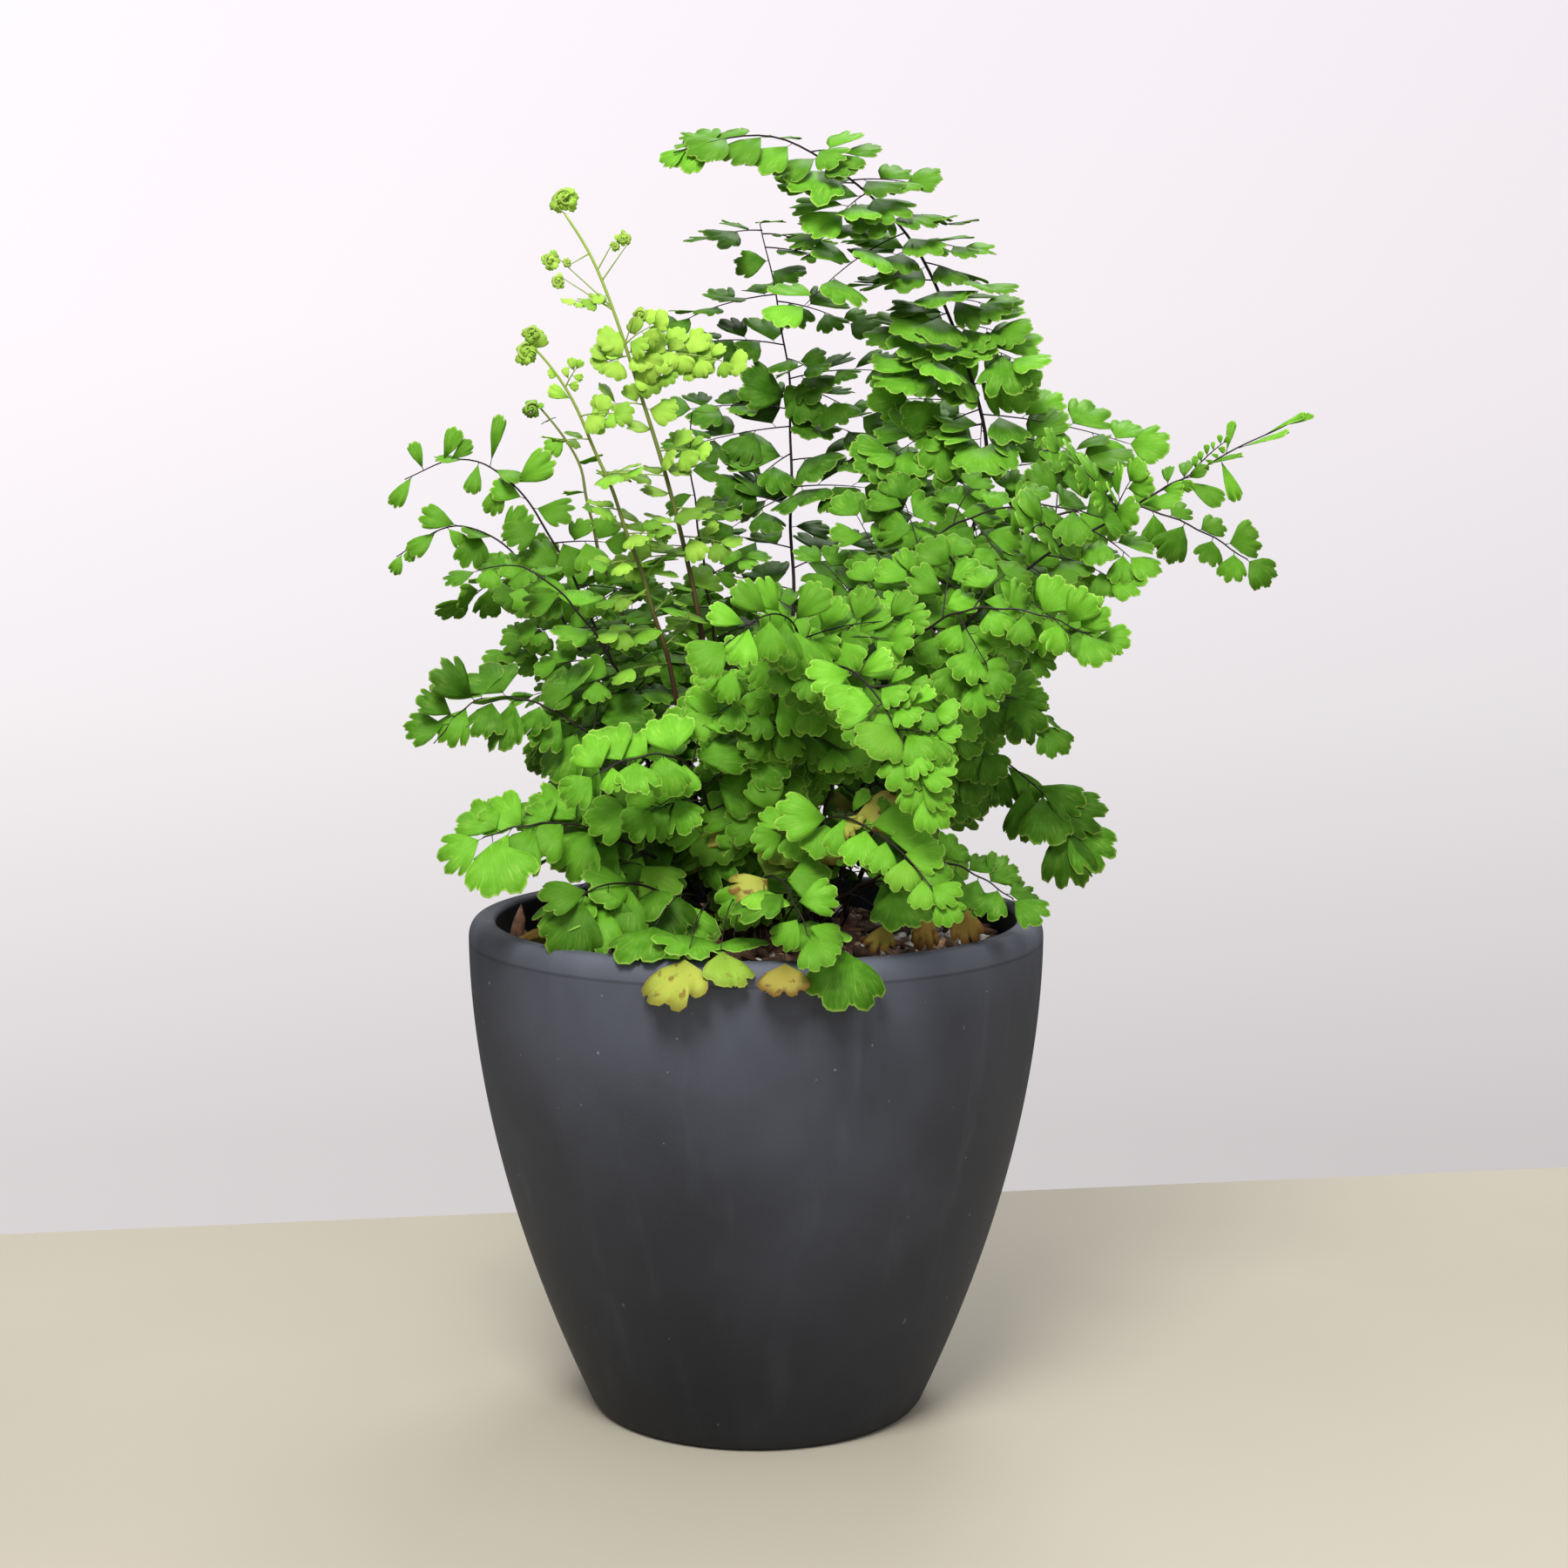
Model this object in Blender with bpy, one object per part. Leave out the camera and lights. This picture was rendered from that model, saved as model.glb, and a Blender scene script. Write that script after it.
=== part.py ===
"""A maidenhair fern in a charcoal pot.

The pot and its fill are turned shapes. Each frond is two sub-parts that touch the
others nowhere: a tapered stem, which rises from the rhizome along a smooth route, and
a thin leaf sheet, whose rib lies along the stem and carries pairs of fan-shaped leaves.
The origin is the centre of the pot's underside, +Z is up and -Y is the front.
"""

import math

import bmesh
import bpy
from mathutils import Vector
from mathutils.bvhtree import BVHTree

MM = 0.001
GAP = 0.3 * MM  # between sub-parts that touch

# Pot
POT_HEIGHT = 156 * MM
RIM_RADIUS = 90 * MM
BASE_RADIUS = 52 * MM
BELLY = 1.85  # how soon the wall swings out above the base
WALL = 8.5 * MM
FLOOR = 9 * MM
SHOULDER_HEIGHT = 7 * MM  # the rounded outer edge of the rim
SHOULDER_WIDTH = 4.5 * MM
SMALL_ROUND = 1.5 * MM  # where the inner wall meets the flat top, and the outer wall the underside
TURNED_STEPS = 40
OUTSIDE_STEPS = 9
INSIDE_STEPS = 6
SHOULDER_STEPS = 4

# Fill
SOIL_LEVEL = POT_HEIGHT - 12 * MM
SOIL_CROWN = 3 * MM  # how much the fill rises in the middle
CROWN_MARGIN = 4 * MM  # the flat of the crown reaches this far beyond the rhizome
FILL_STEPS = 5
RHIZOME_RADIUS = 34 * MM
RHIZOME_HEIGHT = 7 * MM
RHIZOME_EDGE = 3 * MM  # the slope around its top
RHIZOME_TOP = SOIL_LEVEL + SOIL_CROWN + GAP + RHIZOME_HEIGHT

# Fronds
STEM_BASE_RADIUS = 1.1 * MM
STEM_TIP_RADIUS = 0.5 * MM
UPRIGHT_START = 4 * MM  # every stem leaves the rhizome straight up
BARE_STEPS = 5  # stretches of stem below its first leaves
RIB_HALF_WIDTH = 1.0 * MM
RIB_GAP = 0.5 * MM  # wider than GAP, because stem and rib bend on different curves
NODE_LENGTH = 3 * MM  # the stretch of rib that a pair of leaves grows from
SHEET = 1.0 * MM
TIP_SHARE = 0.4  # a frond's last leaves against its first
FACING_UP = math.radians(42)  # how far the leaves look up from level
LEAF_LEAN = 0.35  # how far a leaf points along its stem
LEAF_DROOP = 0.15
LEAF_WIDTH = 0.55  # against its length
LOW_CORNER = 0.62  # where along a leaf its two side corners stand
HIGH_CORNER = 0.72
LEAF_SIZES = (1.0, 0.75, 0.5)  # tried in turn, where a neighbour is close
CLEARANCE = 1.2 * MM  # around a leaf that is being placed

# Each frond: its name, whether it is young, the way its leaves face in degrees from
# the front towards +X, its longest leaf in mm, its pairs of leaves, where on the stem
# they begin, and its route in mm, which starts at x, y on the rhizome.
FRONDS = (
    ("tall_arching", False, 5, 36, 8, 0.40,
     ((14, 12), (45, 30, 215), (72, 34, 285), (70, 36, 320), (48, 28, 368), (9, 11, 396), (-25, 1, 391))),
    ("tall_back", False, 0, 30, 7, 0.42,
     ((6, 22), (12, 38, 215), (11, 50, 280), (10, 60, 328), (1, 66, 376))),
    ("tall_unfurling", True, 0, 28, 6, 0.60,
     ((-8, 4), (-12, 0, 215), (-25, -4, 283), (-36, -8, 321), (-48, -11, 355), (-57, -12, 371))),
    ("small_unfurling", True, -10, 16, 5, 0.58,
     ((-14, -5), (-24, -14, 225), (-40, -22, 280), (-56, -26, 318), (-67, -28, 332))),
    ("upper_left", True, -15, 22, 6, 0.42,
     ((-20, 4), (-40, 10, 220), (-66, 14, 276), (-88, 14, 298), (-110, 10, 292))),
    ("outer_left", True, -10, 20, 6, 0.45,
     ((-22, 14), (-45, 26, 215), (-73, 38, 261), (-96, 42, 277), (-118, 44, 267))),
    ("middle_left", False, -15, 24, 6, 0.40,
     ((-24, -4), (-38, -12, 222), (-54, -19, 252), (-72, -22, 266), (-90, -25, 262))),
    ("dark_left", False, -20, 27, 6, 0.38,
     ((-18, -12), (-32, -22, 196), (-60, -27, 222), (-83, -30, 226), (-96, -34, 213))),
    ("lower_left", False, -20, 28, 5, 0.34,
     ((-15, -19), (-30, -32, 178), (-52, -47, 190), (-72, -54, 190), (-88, -57, 183))),
    ("rim_left", False, -25, 24, 4, 0.35,
     ((-9, -26), (-24, -40, 168), (-42, -55, 174), (-58, -66, 166))),
    ("rim_front", False, 0, 26, 4, 0.35,
     ((-1, -28), (0, -52, 172), (8, -76, 178), (18, -99, 160))),
    ("fan_front", False, 0, 30, 5, 0.45,
     ((-4, -8), (4, -28, 215), (13, -56, 245), (5, -78, 254), (-8, -92, 246))),
    ("cascade", False, 10, 30, 6, 0.42,
     ((8, -10), (12, -38, 215), (22, -66, 238), (36, -87, 230), (47, -100, 206))),
    ("lower_cascade", False, 10, 28, 5, 0.38,
     ((8, -26), (12, -48, 184), (24, -74, 196), (38, -90, 191), (51, -101, 178))),
    ("long_right", True, 15, 26, 7, 0.42,
     ((19, -6), (44, -14, 222), (79, -19, 262), (110, -20, 281), (138, -18, 297), (162, -15, 309))),
    ("drooping_right", False, 15, 26, 7, 0.42,
     ((21, 5), (45, 12, 232), (80, 12, 272), (110, 7, 284), (136, 0, 277), (157, -7, 263))),
    ("middle_right", False, 15, 32, 6, 0.40,
     ((14, -16), (30, -36, 222), (54, -55, 251), (79, -64, 254), (100, -66, 245))),
    ("upper_right", False, 10, 30, 6, 0.44,
     ((11, 1), (28, -2, 228), (50, -12, 270), (80, -19, 284), (110, -24, 279))),
    ("dark_right", False, 20, 26, 6, 0.38,
     ((23, -13), (38, -26, 206), (62, -37, 227), (81, -40, 225), (89, -43, 213))),
    ("low_right", False, 30, 26, 5, 0.38,
     ((28, 2), (48, 0, 194), (72, -7, 206), (90, -14, 194), (98, -17, 180))),
    ("rim_right", False, 25, 26, 5, 0.34,
     ((18, -24), (34, -38, 172), (54, -52, 180), (70, -60, 174), (81, -63, 165))),
    ("inner_left", False, -10, 28, 5, 0.42,
     ((-7, -17), (-13, -36, 192), (-22, -58, 211), (-38, -66, 211), (-52, -70, 203))),
    ("inner_upper", True, 0, 26, 6, 0.40,
     ((-4, 14), (-11, 18, 224), (-17, 20, 266), (-21, 18, 300), (-19, 14, 318))),
    ("inner_unfurling", True, -10, 18, 5, 0.50,
     ((-14, 12), (-32, 18, 222), (-50, 24, 268), (-57, 25, 298), (-69, 21, 315))),
    ("back_left", False, -150, 34, 7, 0.38,
     ((-16, 22), (-34, 50, 208), (-58, 78, 246), (-86, 98, 258), (-108, 108, 246))),
    ("back_right", False, 145, 34, 7, 0.38,
     ((16, 23), (38, 52, 220), (64, 78, 258), (92, 92, 268), (116, 98, 256))),
    ("back_middle", False, 180, 32, 7, 0.38,
     ((-4, 29), (-6, 62, 200), (-8, 94, 240), (-14, 120, 250), (-20, 138, 238))),
    ("back_low", False, 165, 30, 5, 0.36,
     ((9, 31), (24, 58, 176), (42, 82, 190), (60, 102, 186), (72, 116, 172))),
)

# The fallen leaf on the fill, at the left
DRY_LEAF_PLACE = Vector((-68, -12, 0)) * MM
DRY_LEAF_LENGTH = 20 * MM
DRY_LEAF_WIDTH = 12 * MM
DRY_LEAF_CURL = 3 * MM
DRY_LEAF_TURN = math.radians(25)
DRY_LEAF_ROWS = 5
DRY_LEAF_WAYS = (-1, -0.5, 0, 0.5, 1)  # from one long edge to the other

# Name: colour, roughness
MATERIALS = {
    "charcoal_pot": ((0.045, 0.05, 0.06, 1), 0.75),
    "bark_mix": ((0.08, 0.045, 0.03, 1), 0.95),
    "rhizome": ((0.06, 0.035, 0.02, 1), 0.9),
    "black_stem": ((0.02, 0.01, 0.01, 1), 0.35),
    "young_stem": ((0.16, 0.09, 0.03, 1), 0.45),
    "green_leaf": ((0.07, 0.3, 0.04, 1), 0.55),
    "young_leaf": ((0.25, 0.5, 0.06, 1), 0.55),
    "dry_leaf": ((0.2, 0.09, 0.03, 1), 0.85),
}


def clear_scene():
    for obj in list(bpy.data.objects):
        bpy.data.objects.remove(obj)


def material(name):
    """The named material, made on first use."""
    found = bpy.data.materials.get(name)
    if found:
        return found
    made = bpy.data.materials.new(name)
    made.use_nodes = True
    shader = made.node_tree.nodes["Principled BSDF"]
    shader.inputs["Base Color"].default_value = MATERIALS[name][0]
    shader.inputs["Roughness"].default_value = MATERIALS[name][1]
    return made


def add_object(name, data, finish):
    obj = bpy.data.objects.new(name, data)
    data.materials.append(material(finish))
    bpy.context.scene.collection.objects.link(obj)
    return obj


def wall_radius(z):
    """The pot's outer radius at a height: it grows fast near the base, then less and less."""
    share = min(z / (POT_HEIGHT - SHOULDER_HEIGHT), 1)
    return BASE_RADIUS + (RIM_RADIUS - BASE_RADIUS) * (1 - (1 - share) ** BELLY)


def wall_run(low, high, inset, count):
    """Points of the wall's curve, moved in by inset, from one height to another."""
    heights = [low + (high - low) * i / count for i in range(count + 1)]
    return [(wall_radius(z) - inset, z) for z in heights]


def shoulder_run(count):
    """A quarter ellipse from the rim's flat top down to the widest point of the wall."""
    centre = RIM_RADIUS - SHOULDER_WIDTH, POT_HEIGHT - SHOULDER_HEIGHT
    angles = [math.pi / 2 * (1 - i / count) for i in range(count + 1)]
    return [
        (centre[0] + SHOULDER_WIDTH * math.cos(a), centre[1] + SHOULDER_HEIGHT * math.sin(a))
        for a in angles
    ]


def turned(name, profile, finish):
    """A profile of (radius, height) from the axis, up or out, and down the outer side, turned about Z."""
    shape = bmesh.new()
    points = [shape.verts.new((radius, 0, height)) for radius, height in profile]
    for here, after in zip(points, points[1:]):
        shape.edges.new((here, after))
    mesh = bpy.data.meshes.new(name)
    shape.to_mesh(mesh)
    shape.free()
    obj = add_object(name, mesh, finish)
    screw = obj.modifiers.new("turn", "SCREW")
    screw.steps = screw.render_steps = TURNED_STEPS
    screw.use_merge_vertices = True
    screw.merge_threshold = 1e-5
    return obj


def add_pot():
    inside = wall_run(FLOOR, POT_HEIGHT - SMALL_ROUND, WALL, INSIDE_STEPS)
    outside = wall_run(SMALL_ROUND, POT_HEIGHT - SHOULDER_HEIGHT, 0, OUTSIDE_STEPS)[::-1]
    profile = [(0, FLOOR)] + inside + [(RIM_RADIUS - WALL + SMALL_ROUND, POT_HEIGHT)]
    profile += shoulder_run(SHOULDER_STEPS) + outside[1:] + [(BASE_RADIUS - SMALL_ROUND, 0), (0, 0)]
    turned("pot", profile, "charcoal_pot")


def add_fill():
    side = wall_run(FLOOR + GAP, SOIL_LEVEL, WALL + GAP, FILL_STEPS)[::-1]
    top = SOIL_LEVEL + SOIL_CROWN
    profile = [(0, top), (RHIZOME_RADIUS + CROWN_MARGIN, top)] + side + [(0, FLOOR + GAP)]
    turned("potting_mix", profile, "bark_mix")
    low = top + GAP
    profile = [
        (0, RHIZOME_TOP),
        (RHIZOME_RADIUS - RHIZOME_EDGE, RHIZOME_TOP),
        (RHIZOME_RADIUS, RHIZOME_TOP - RHIZOME_EDGE),
        (RHIZOME_RADIUS, low),
        (0, low),
    ]
    turned("rhizome", profile, "rhizome")


def between(points, share):
    """The point at a share, from 0 to 1, of a smooth curve through the points.

    Each stretch is a cubic whose slope at a point is half the step from its neighbour
    before to its neighbour after.
    """
    last = len(points) - 1
    along = min(share * last, last - 1e-9)
    i = int(along)
    t = along - i
    here, after = points[i], points[i + 1]
    slope_here = (after - points[max(i - 1, 0)]) / 2
    slope_after = (points[min(i + 2, last)] - here) / 2
    return (
        here * (2 * t**3 - 3 * t**2 + 1)
        + slope_here * (t**3 - 2 * t**2 + t)
        + after * (3 * t**2 - 2 * t**3)
        + slope_after * (t**3 - t**2)
    )


class Route:
    """A frond's smooth route, which is asked for the point at a share of its length."""

    STEPS = 200

    def __init__(self, start, points):
        base = Vector((start[0] * MM, start[1] * MM, RHIZOME_TOP + GAP))
        self.base = base
        through = [base + Vector((0, 0, UPRIGHT_START))] + [Vector(p) * MM for p in points]
        self.fine = [between(through, i / self.STEPS) for i in range(self.STEPS + 1)]
        self.reach = [0]
        for here, after in zip(self.fine, self.fine[1:]):
            self.reach.append(self.reach[-1] + (after - here).length)
        self.length = self.reach[-1]

    def at(self, share):
        goal = share * self.length
        i = next(i for i, reach in enumerate(self.reach) if reach >= goal or i == self.STEPS)
        if i == 0:
            return self.fine[0].copy()
        step = self.reach[i] - self.reach[i - 1]
        return self.fine[i - 1].lerp(self.fine[i], (goal - self.reach[i - 1]) / step)


def leaf_shares(route, pairs, first):
    """Shares of the route for each pair: the two ends of the stretch that it grows from."""
    half = NODE_LENGTH / 2 / route.length
    step = (1 - first - 2 * half) / (pairs - 0.5)
    return [(first + step * i, first + step * i + 2 * half) for i in range(pairs)]


def joints_of(route, pairs, first):
    """The shares at which stem and rib both bend, so that they stay a gap apart."""
    shares = [first * i / BARE_STEPS for i in range(BARE_STEPS)]
    for ends in leaf_shares(route, pairs, first):
        shares += ends
    return shares + [1]


def stem_radius(share):
    return STEM_BASE_RADIUS + (STEM_TIP_RADIUS - STEM_BASE_RADIUS) * share


def add_stem(name, route, shares, finish):
    curve = bpy.data.curves.new(name, "CURVE")
    curve.dimensions = "3D"
    curve.bevel_depth = STEM_BASE_RADIUS
    curve.bevel_resolution = 0
    curve.use_fill_caps = True
    places = [route.base] + [route.at(share) for share in shares]
    thick = [STEM_BASE_RADIUS] + [stem_radius(share) for share in shares]
    spline = curve.splines.new("POLY")
    spline.points.add(len(places) - 1)
    for point, place, radius in zip(spline.points, places, thick):
        point.co = (*place, 1)
        point.radius = radius / STEM_BASE_RADIUS
    return add_object(name, curve, finish)


def tree_of(obj):
    """The surface of a finished object, for overlap tests."""
    shown = obj.evaluated_get(bpy.context.evaluated_depsgraph_get())
    mesh = shown.to_mesh()
    faces = [face.vertices[:] for face in mesh.polygons]
    tree = BVHTree.FromPolygons([v.co[:] for v in mesh.vertices], faces)
    shown.to_mesh_clear()
    return tree


def slab(outline, normal, half):
    """The closed prism of an outline, reaching half a thickness to each side of it."""
    count = len(outline)
    middle = sum(outline, Vector()) / count
    grown = [p + (p - middle).normalized() * half for p in outline]
    points = [p + normal * half for p in grown] + [p - normal * half for p in grown]
    faces = [tuple(range(count)), tuple(range(2 * count - 1, count - 1, -1))]
    for i in range(count):
        j = (i + 1) % count
        faces.append((i, i + count, j + count, j))
    return BVHTree.FromPolygons(points, faces)


def leaf_outline(root, along, across, length):
    """A fan: it widens to about two thirds of its length and ends in a blunt point."""
    width = length * LEAF_WIDTH
    return [
        root + along * length * LOW_CORNER - across * width / 2,
        root + along * length,
        root + along * length * HIGH_CORNER + across * width / 2,
    ]


class LeafSheet:
    """One frond's rib and leaves as a thin sheet of faces, before it gets its thickness."""

    def __init__(self, route, facing):
        self.route = route
        self.facing = facing
        self.shape = bmesh.new()
        self.rings = []

    def frame(self, share):
        """The rib's place at a share of the route, with its sideways and outward directions."""
        step = 0.01
        ahead = self.route.at(min(share + step, 1)) - self.route.at(max(share - step, 0))
        side = ahead.cross(self.facing).normalized()
        out = side.cross(ahead).normalized()
        lift = stem_radius(share) + RIB_GAP + SHEET / 2
        return self.route.at(share) + out * lift, side, out

    def add_ring(self, share):
        place, side, _ = self.frame(share)
        ends = [self.shape.verts.new(place + side * RIB_HALF_WIDTH * way) for way in (-1, 1)]
        if self.rings:
            before = self.rings[-1]
            self.shape.faces.new((before[0], before[1], ends[1], ends[0]))
        self.rings.append(ends)

    def add_leaf(self, low, high, away, length, obstacles):
        """A leaf on the edge from low to high, at the largest size that clears the obstacles."""
        across = (high.co - low.co).normalized()
        along = (away + across * LEAF_LEAN).normalized()
        root = (low.co + high.co) / 2
        start = root + along * CLEARANCE * 2
        for size in LEAF_SIZES:
            outline = leaf_outline(root, along, across, length * size)
            normal = along.cross(across).normalized()
            test = slab([start] + outline, normal, SHEET / 2 + CLEARANCE)
            if not any(tree.overlap(test) for tree in obstacles):
                corners = [low] + [self.shape.verts.new(p) for p in outline] + [high]
                self.shape.faces.new(corners)
                obstacles.append(slab([start] + outline, normal, SHEET / 2))
                return

    def add_pair(self, ends, length, obstacles):
        for share in ends:
            self.add_ring(share)
        _, side, out = self.frame(sum(ends) / 2)
        (low_left, low_right), (high_left, high_right) = self.rings[-2:]
        self.add_leaf(low_left, high_left, -side - out * LEAF_DROOP, length, obstacles)
        self.add_leaf(low_right, high_right, side - out * LEAF_DROOP, length, obstacles)

    def finish(self, name, finish):
        bmesh.ops.recalc_face_normals(self.shape, faces=self.shape.faces)
        mesh = bpy.data.meshes.new(name)
        self.shape.to_mesh(mesh)
        self.shape.free()
        obj = add_object(name, mesh, finish)
        solid = obj.modifiers.new("thickness", "SOLIDIFY")
        solid.thickness = SHEET
        solid.offset = 0
        return obj


def facing_direction(degrees):
    turn = math.radians(degrees)
    level = math.cos(FACING_UP)
    return Vector((level * math.sin(turn), -level * math.cos(turn), math.sin(FACING_UP)))


def add_leaves(name, route, facing, length, pairs, first, finish, obstacles):
    sheet = LeafSheet(route, facing_direction(facing))
    for i, ends in enumerate(leaf_shares(route, pairs, first)):
        size = length * MM * (1 - (1 - TIP_SHARE) * i / (pairs - 1))
        sheet.add_pair(ends, size, obstacles)
    sheet.add_ring(1)
    return sheet.finish(name, finish)


def add_fronds():
    """All stems come first, so that every leaf can be placed clear of every stem."""
    fixed = [bpy.data.objects[name] for name in ("pot", "potting_mix", "rhizome")]
    obstacles = [tree_of(obj) for obj in fixed]
    routes = {}
    for name, young, _, _, pairs, first, (start, *points) in FRONDS:
        route = routes[name] = Route(start, points)
        shares = joints_of(route, pairs, first)
        stem = add_stem(name + "_stem", route, shares, "young_stem" if young else "black_stem")
        bpy.context.view_layer.update()
        obstacles.append(tree_of(stem))
    for name, young, facing, length, pairs, first, _ in FRONDS:
        finish = "young_leaf" if young else "green_leaf"
        leaves = (facing, length, pairs, first, finish)
        add_leaves(name + "_leaves", routes[name], *leaves, obstacles)


def dry_leaf_half_width(along):
    """Widest in the middle of its length, and blunt at both ends."""
    return DRY_LEAF_WIDTH / 2 * (0.25 + 0.75 * math.sin(math.pi * (0.15 + 0.7 * along)))


def add_dry_leaf():
    """A small pointed leaf, curled up along both long edges, lying on the fill."""
    shape = bmesh.new()
    rows = []
    for i in range(DRY_LEAF_ROWS):
        along = i / (DRY_LEAF_ROWS - 1)
        half = dry_leaf_half_width(along)
        row = []
        for way in DRY_LEAF_WAYS:
            place = Vector((DRY_LEAF_LENGTH * (along - 0.5), half * way, DRY_LEAF_CURL * way**2))
            row.append(shape.verts.new(place))
        rows.append(row)
    for here, after in zip(rows, rows[1:]):
        for i in range(len(DRY_LEAF_WAYS) - 1):
            shape.faces.new((here[i], after[i], after[i + 1], here[i + 1]))
    mesh = bpy.data.meshes.new("dry_leaf")
    shape.to_mesh(mesh)
    shape.free()
    obj = add_object("dry_leaf", mesh, "dry_leaf")
    obj.location = DRY_LEAF_PLACE + Vector((0, 0, SOIL_LEVEL + SOIL_CROWN + SHEET))
    obj.rotation_euler.z = DRY_LEAF_TURN
    solid = obj.modifiers.new("thickness", "SOLIDIFY")
    solid.thickness = SHEET
    solid.offset = 0


def main():
    clear_scene()
    add_pot()
    add_fill()
    bpy.context.view_layer.update()
    add_fronds()
    add_dry_leaf()


main()
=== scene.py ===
"""A potted maidenhair fern: fan-shaped leaflets on wiry stems, bark mix and a charcoal pot."""

import math
from collections import namedtuple

import bpy
import numpy as np
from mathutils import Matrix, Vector


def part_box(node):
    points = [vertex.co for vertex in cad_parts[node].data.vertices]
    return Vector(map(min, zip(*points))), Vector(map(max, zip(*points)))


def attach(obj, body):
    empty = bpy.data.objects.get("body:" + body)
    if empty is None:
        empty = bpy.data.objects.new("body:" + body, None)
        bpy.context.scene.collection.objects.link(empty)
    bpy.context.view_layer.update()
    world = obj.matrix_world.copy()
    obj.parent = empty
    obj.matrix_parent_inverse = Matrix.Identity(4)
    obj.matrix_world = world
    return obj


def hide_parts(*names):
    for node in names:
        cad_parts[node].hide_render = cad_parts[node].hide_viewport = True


MM = 0.001
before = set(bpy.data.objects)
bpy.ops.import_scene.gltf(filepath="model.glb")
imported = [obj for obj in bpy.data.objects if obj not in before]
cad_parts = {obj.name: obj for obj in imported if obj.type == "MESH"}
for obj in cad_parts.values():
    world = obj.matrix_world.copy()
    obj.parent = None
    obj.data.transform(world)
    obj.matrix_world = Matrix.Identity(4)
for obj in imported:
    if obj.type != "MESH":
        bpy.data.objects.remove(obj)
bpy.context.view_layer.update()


# ---------------------------------------------------------------- small tools

def unit(v):
    """Rows scaled to length one."""
    return v / np.maximum(np.linalg.norm(v, axis=-1, keepdims=True), 1e-12)


def compass(degrees, up):
    """The direction at an angle from the front (-Y) towards +X, raised by an angle."""
    turn, rise = math.radians(degrees), math.radians(up)
    return np.array([math.sin(turn) * math.cos(rise), -math.cos(turn) * math.cos(rise), math.sin(rise)])


def node_points(name):
    """The separate corners of a CAD node."""
    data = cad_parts[name].data
    flat = np.empty(len(data.vertices) * 3, np.float32)
    data.vertices.foreach_get("co", flat)
    return np.unique(np.round(flat.reshape(-1, 3).astype(float), 6), axis=0)


class Surface:
    """Vertices, faces and their values, gathered from several grids before they become a mesh."""

    def __init__(self):
        self.points, self.quads, self.tris, self.uvs, self.tints = [], [], [], [], []
        self.count = 0

    def add(self, points, quads, tris, uv=None, tint=None):
        """Adds a grid, whose faces count its own points from 0."""
        points = np.asarray(points, float).reshape(-1, 3)
        n = len(points)
        self.points.append(points)
        self.quads.append(np.asarray(quads, int).reshape(-1, 4) + self.count)
        self.tris.append(np.asarray(tris, int).reshape(-1, 3) + self.count)
        self.uvs.append(np.zeros((n, 2)) if uv is None else np.asarray(uv, float).reshape(-1, 2))
        self.tints.append(np.zeros((n, 4)) if tint is None else np.asarray(tint, float).reshape(-1, 4))
        self.count += n

    def add_copies(self, points, quads, tris, tint, uv=None):
        """Adds the same faces once for each row of points, with one tint a row or one a point."""
        count, each = points.shape[:2]
        start = np.arange(count)[:, None, None] * each
        tint = np.asarray(tint, float)
        if tint.ndim == 2:
            tint = np.repeat(tint, each, axis=0)
        self.add(points, quads + start, tris + start, uv, tint)

    def build(self, name, finish, replaces=(), thickness=0.0):
        """Makes the mesh object, which rides on the root body."""
        points = np.concatenate(self.points)
        quads, tris = np.concatenate(self.quads), np.concatenate(self.tris)
        corners = np.concatenate([quads.ravel(), tris.ravel()])
        sizes = np.concatenate([np.full(len(quads), 4), np.full(len(tris), 3)])
        mesh = bpy.data.meshes.new(name)
        mesh.vertices.add(len(points))
        mesh.vertices.foreach_set("co", points.astype(np.float32).ravel())
        mesh.loops.add(len(corners))
        mesh.loops.foreach_set("vertex_index", corners.astype(np.int32))
        mesh.polygons.add(len(sizes))
        starts = np.concatenate([[0], np.cumsum(sizes)[:-1]])
        mesh.polygons.foreach_set("loop_start", starts.astype(np.int32))
        mesh.update(calc_edges=True)
        mesh.validate()
        layer = mesh.uv_layers.new(name="across_along")
        layer.data.foreach_set("uv", np.concatenate(self.uvs)[corners].astype(np.float32).ravel())
        tint = mesh.attributes.new("tint", "FLOAT_COLOR", "POINT")
        tint.data.foreach_set("color", np.concatenate(self.tints).astype(np.float32).ravel())
        mesh.shade_smooth()
        mesh.materials.append(finish)
        obj = bpy.data.objects.new(name, mesh)
        bpy.context.scene.collection.objects.link(obj)
        if thickness:
            solid = obj.modifiers.new("thickness", "SOLIDIFY")
            solid.thickness = thickness
            solid.offset = 0
        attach(obj, "root")
        if replaces:
            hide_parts(*replaces)
        return obj


def ring_faces(rings, sides, flip=False):
    """Quads between rings of corners, and triangles from each end ring to a point.

    The two end points come after the rings, first ring's first. Flipped faces are for rings that
    advance the other way.
    """
    here = np.arange(sides)
    onward = (here + 1) % sides
    ring = np.arange(rings - 1)[:, None] * sides
    quads = np.stack([ring + here, ring + onward, ring + sides + onward, ring + sides + here], -1)
    last, end = (rings - 1) * sides, rings * sides
    low = np.stack([np.full(sides, end), onward, here], -1)
    high = np.stack([np.full(sides, end + 1), last + here, last + onward], -1)
    quads, tris = quads.reshape(-1, 4), np.concatenate([low, high])
    return (quads[:, [0, 3, 2, 1]], tris[:, [0, 2, 1]]) if flip else (quads, tris)


# ---------------------------------------------------------------- materials

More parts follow.
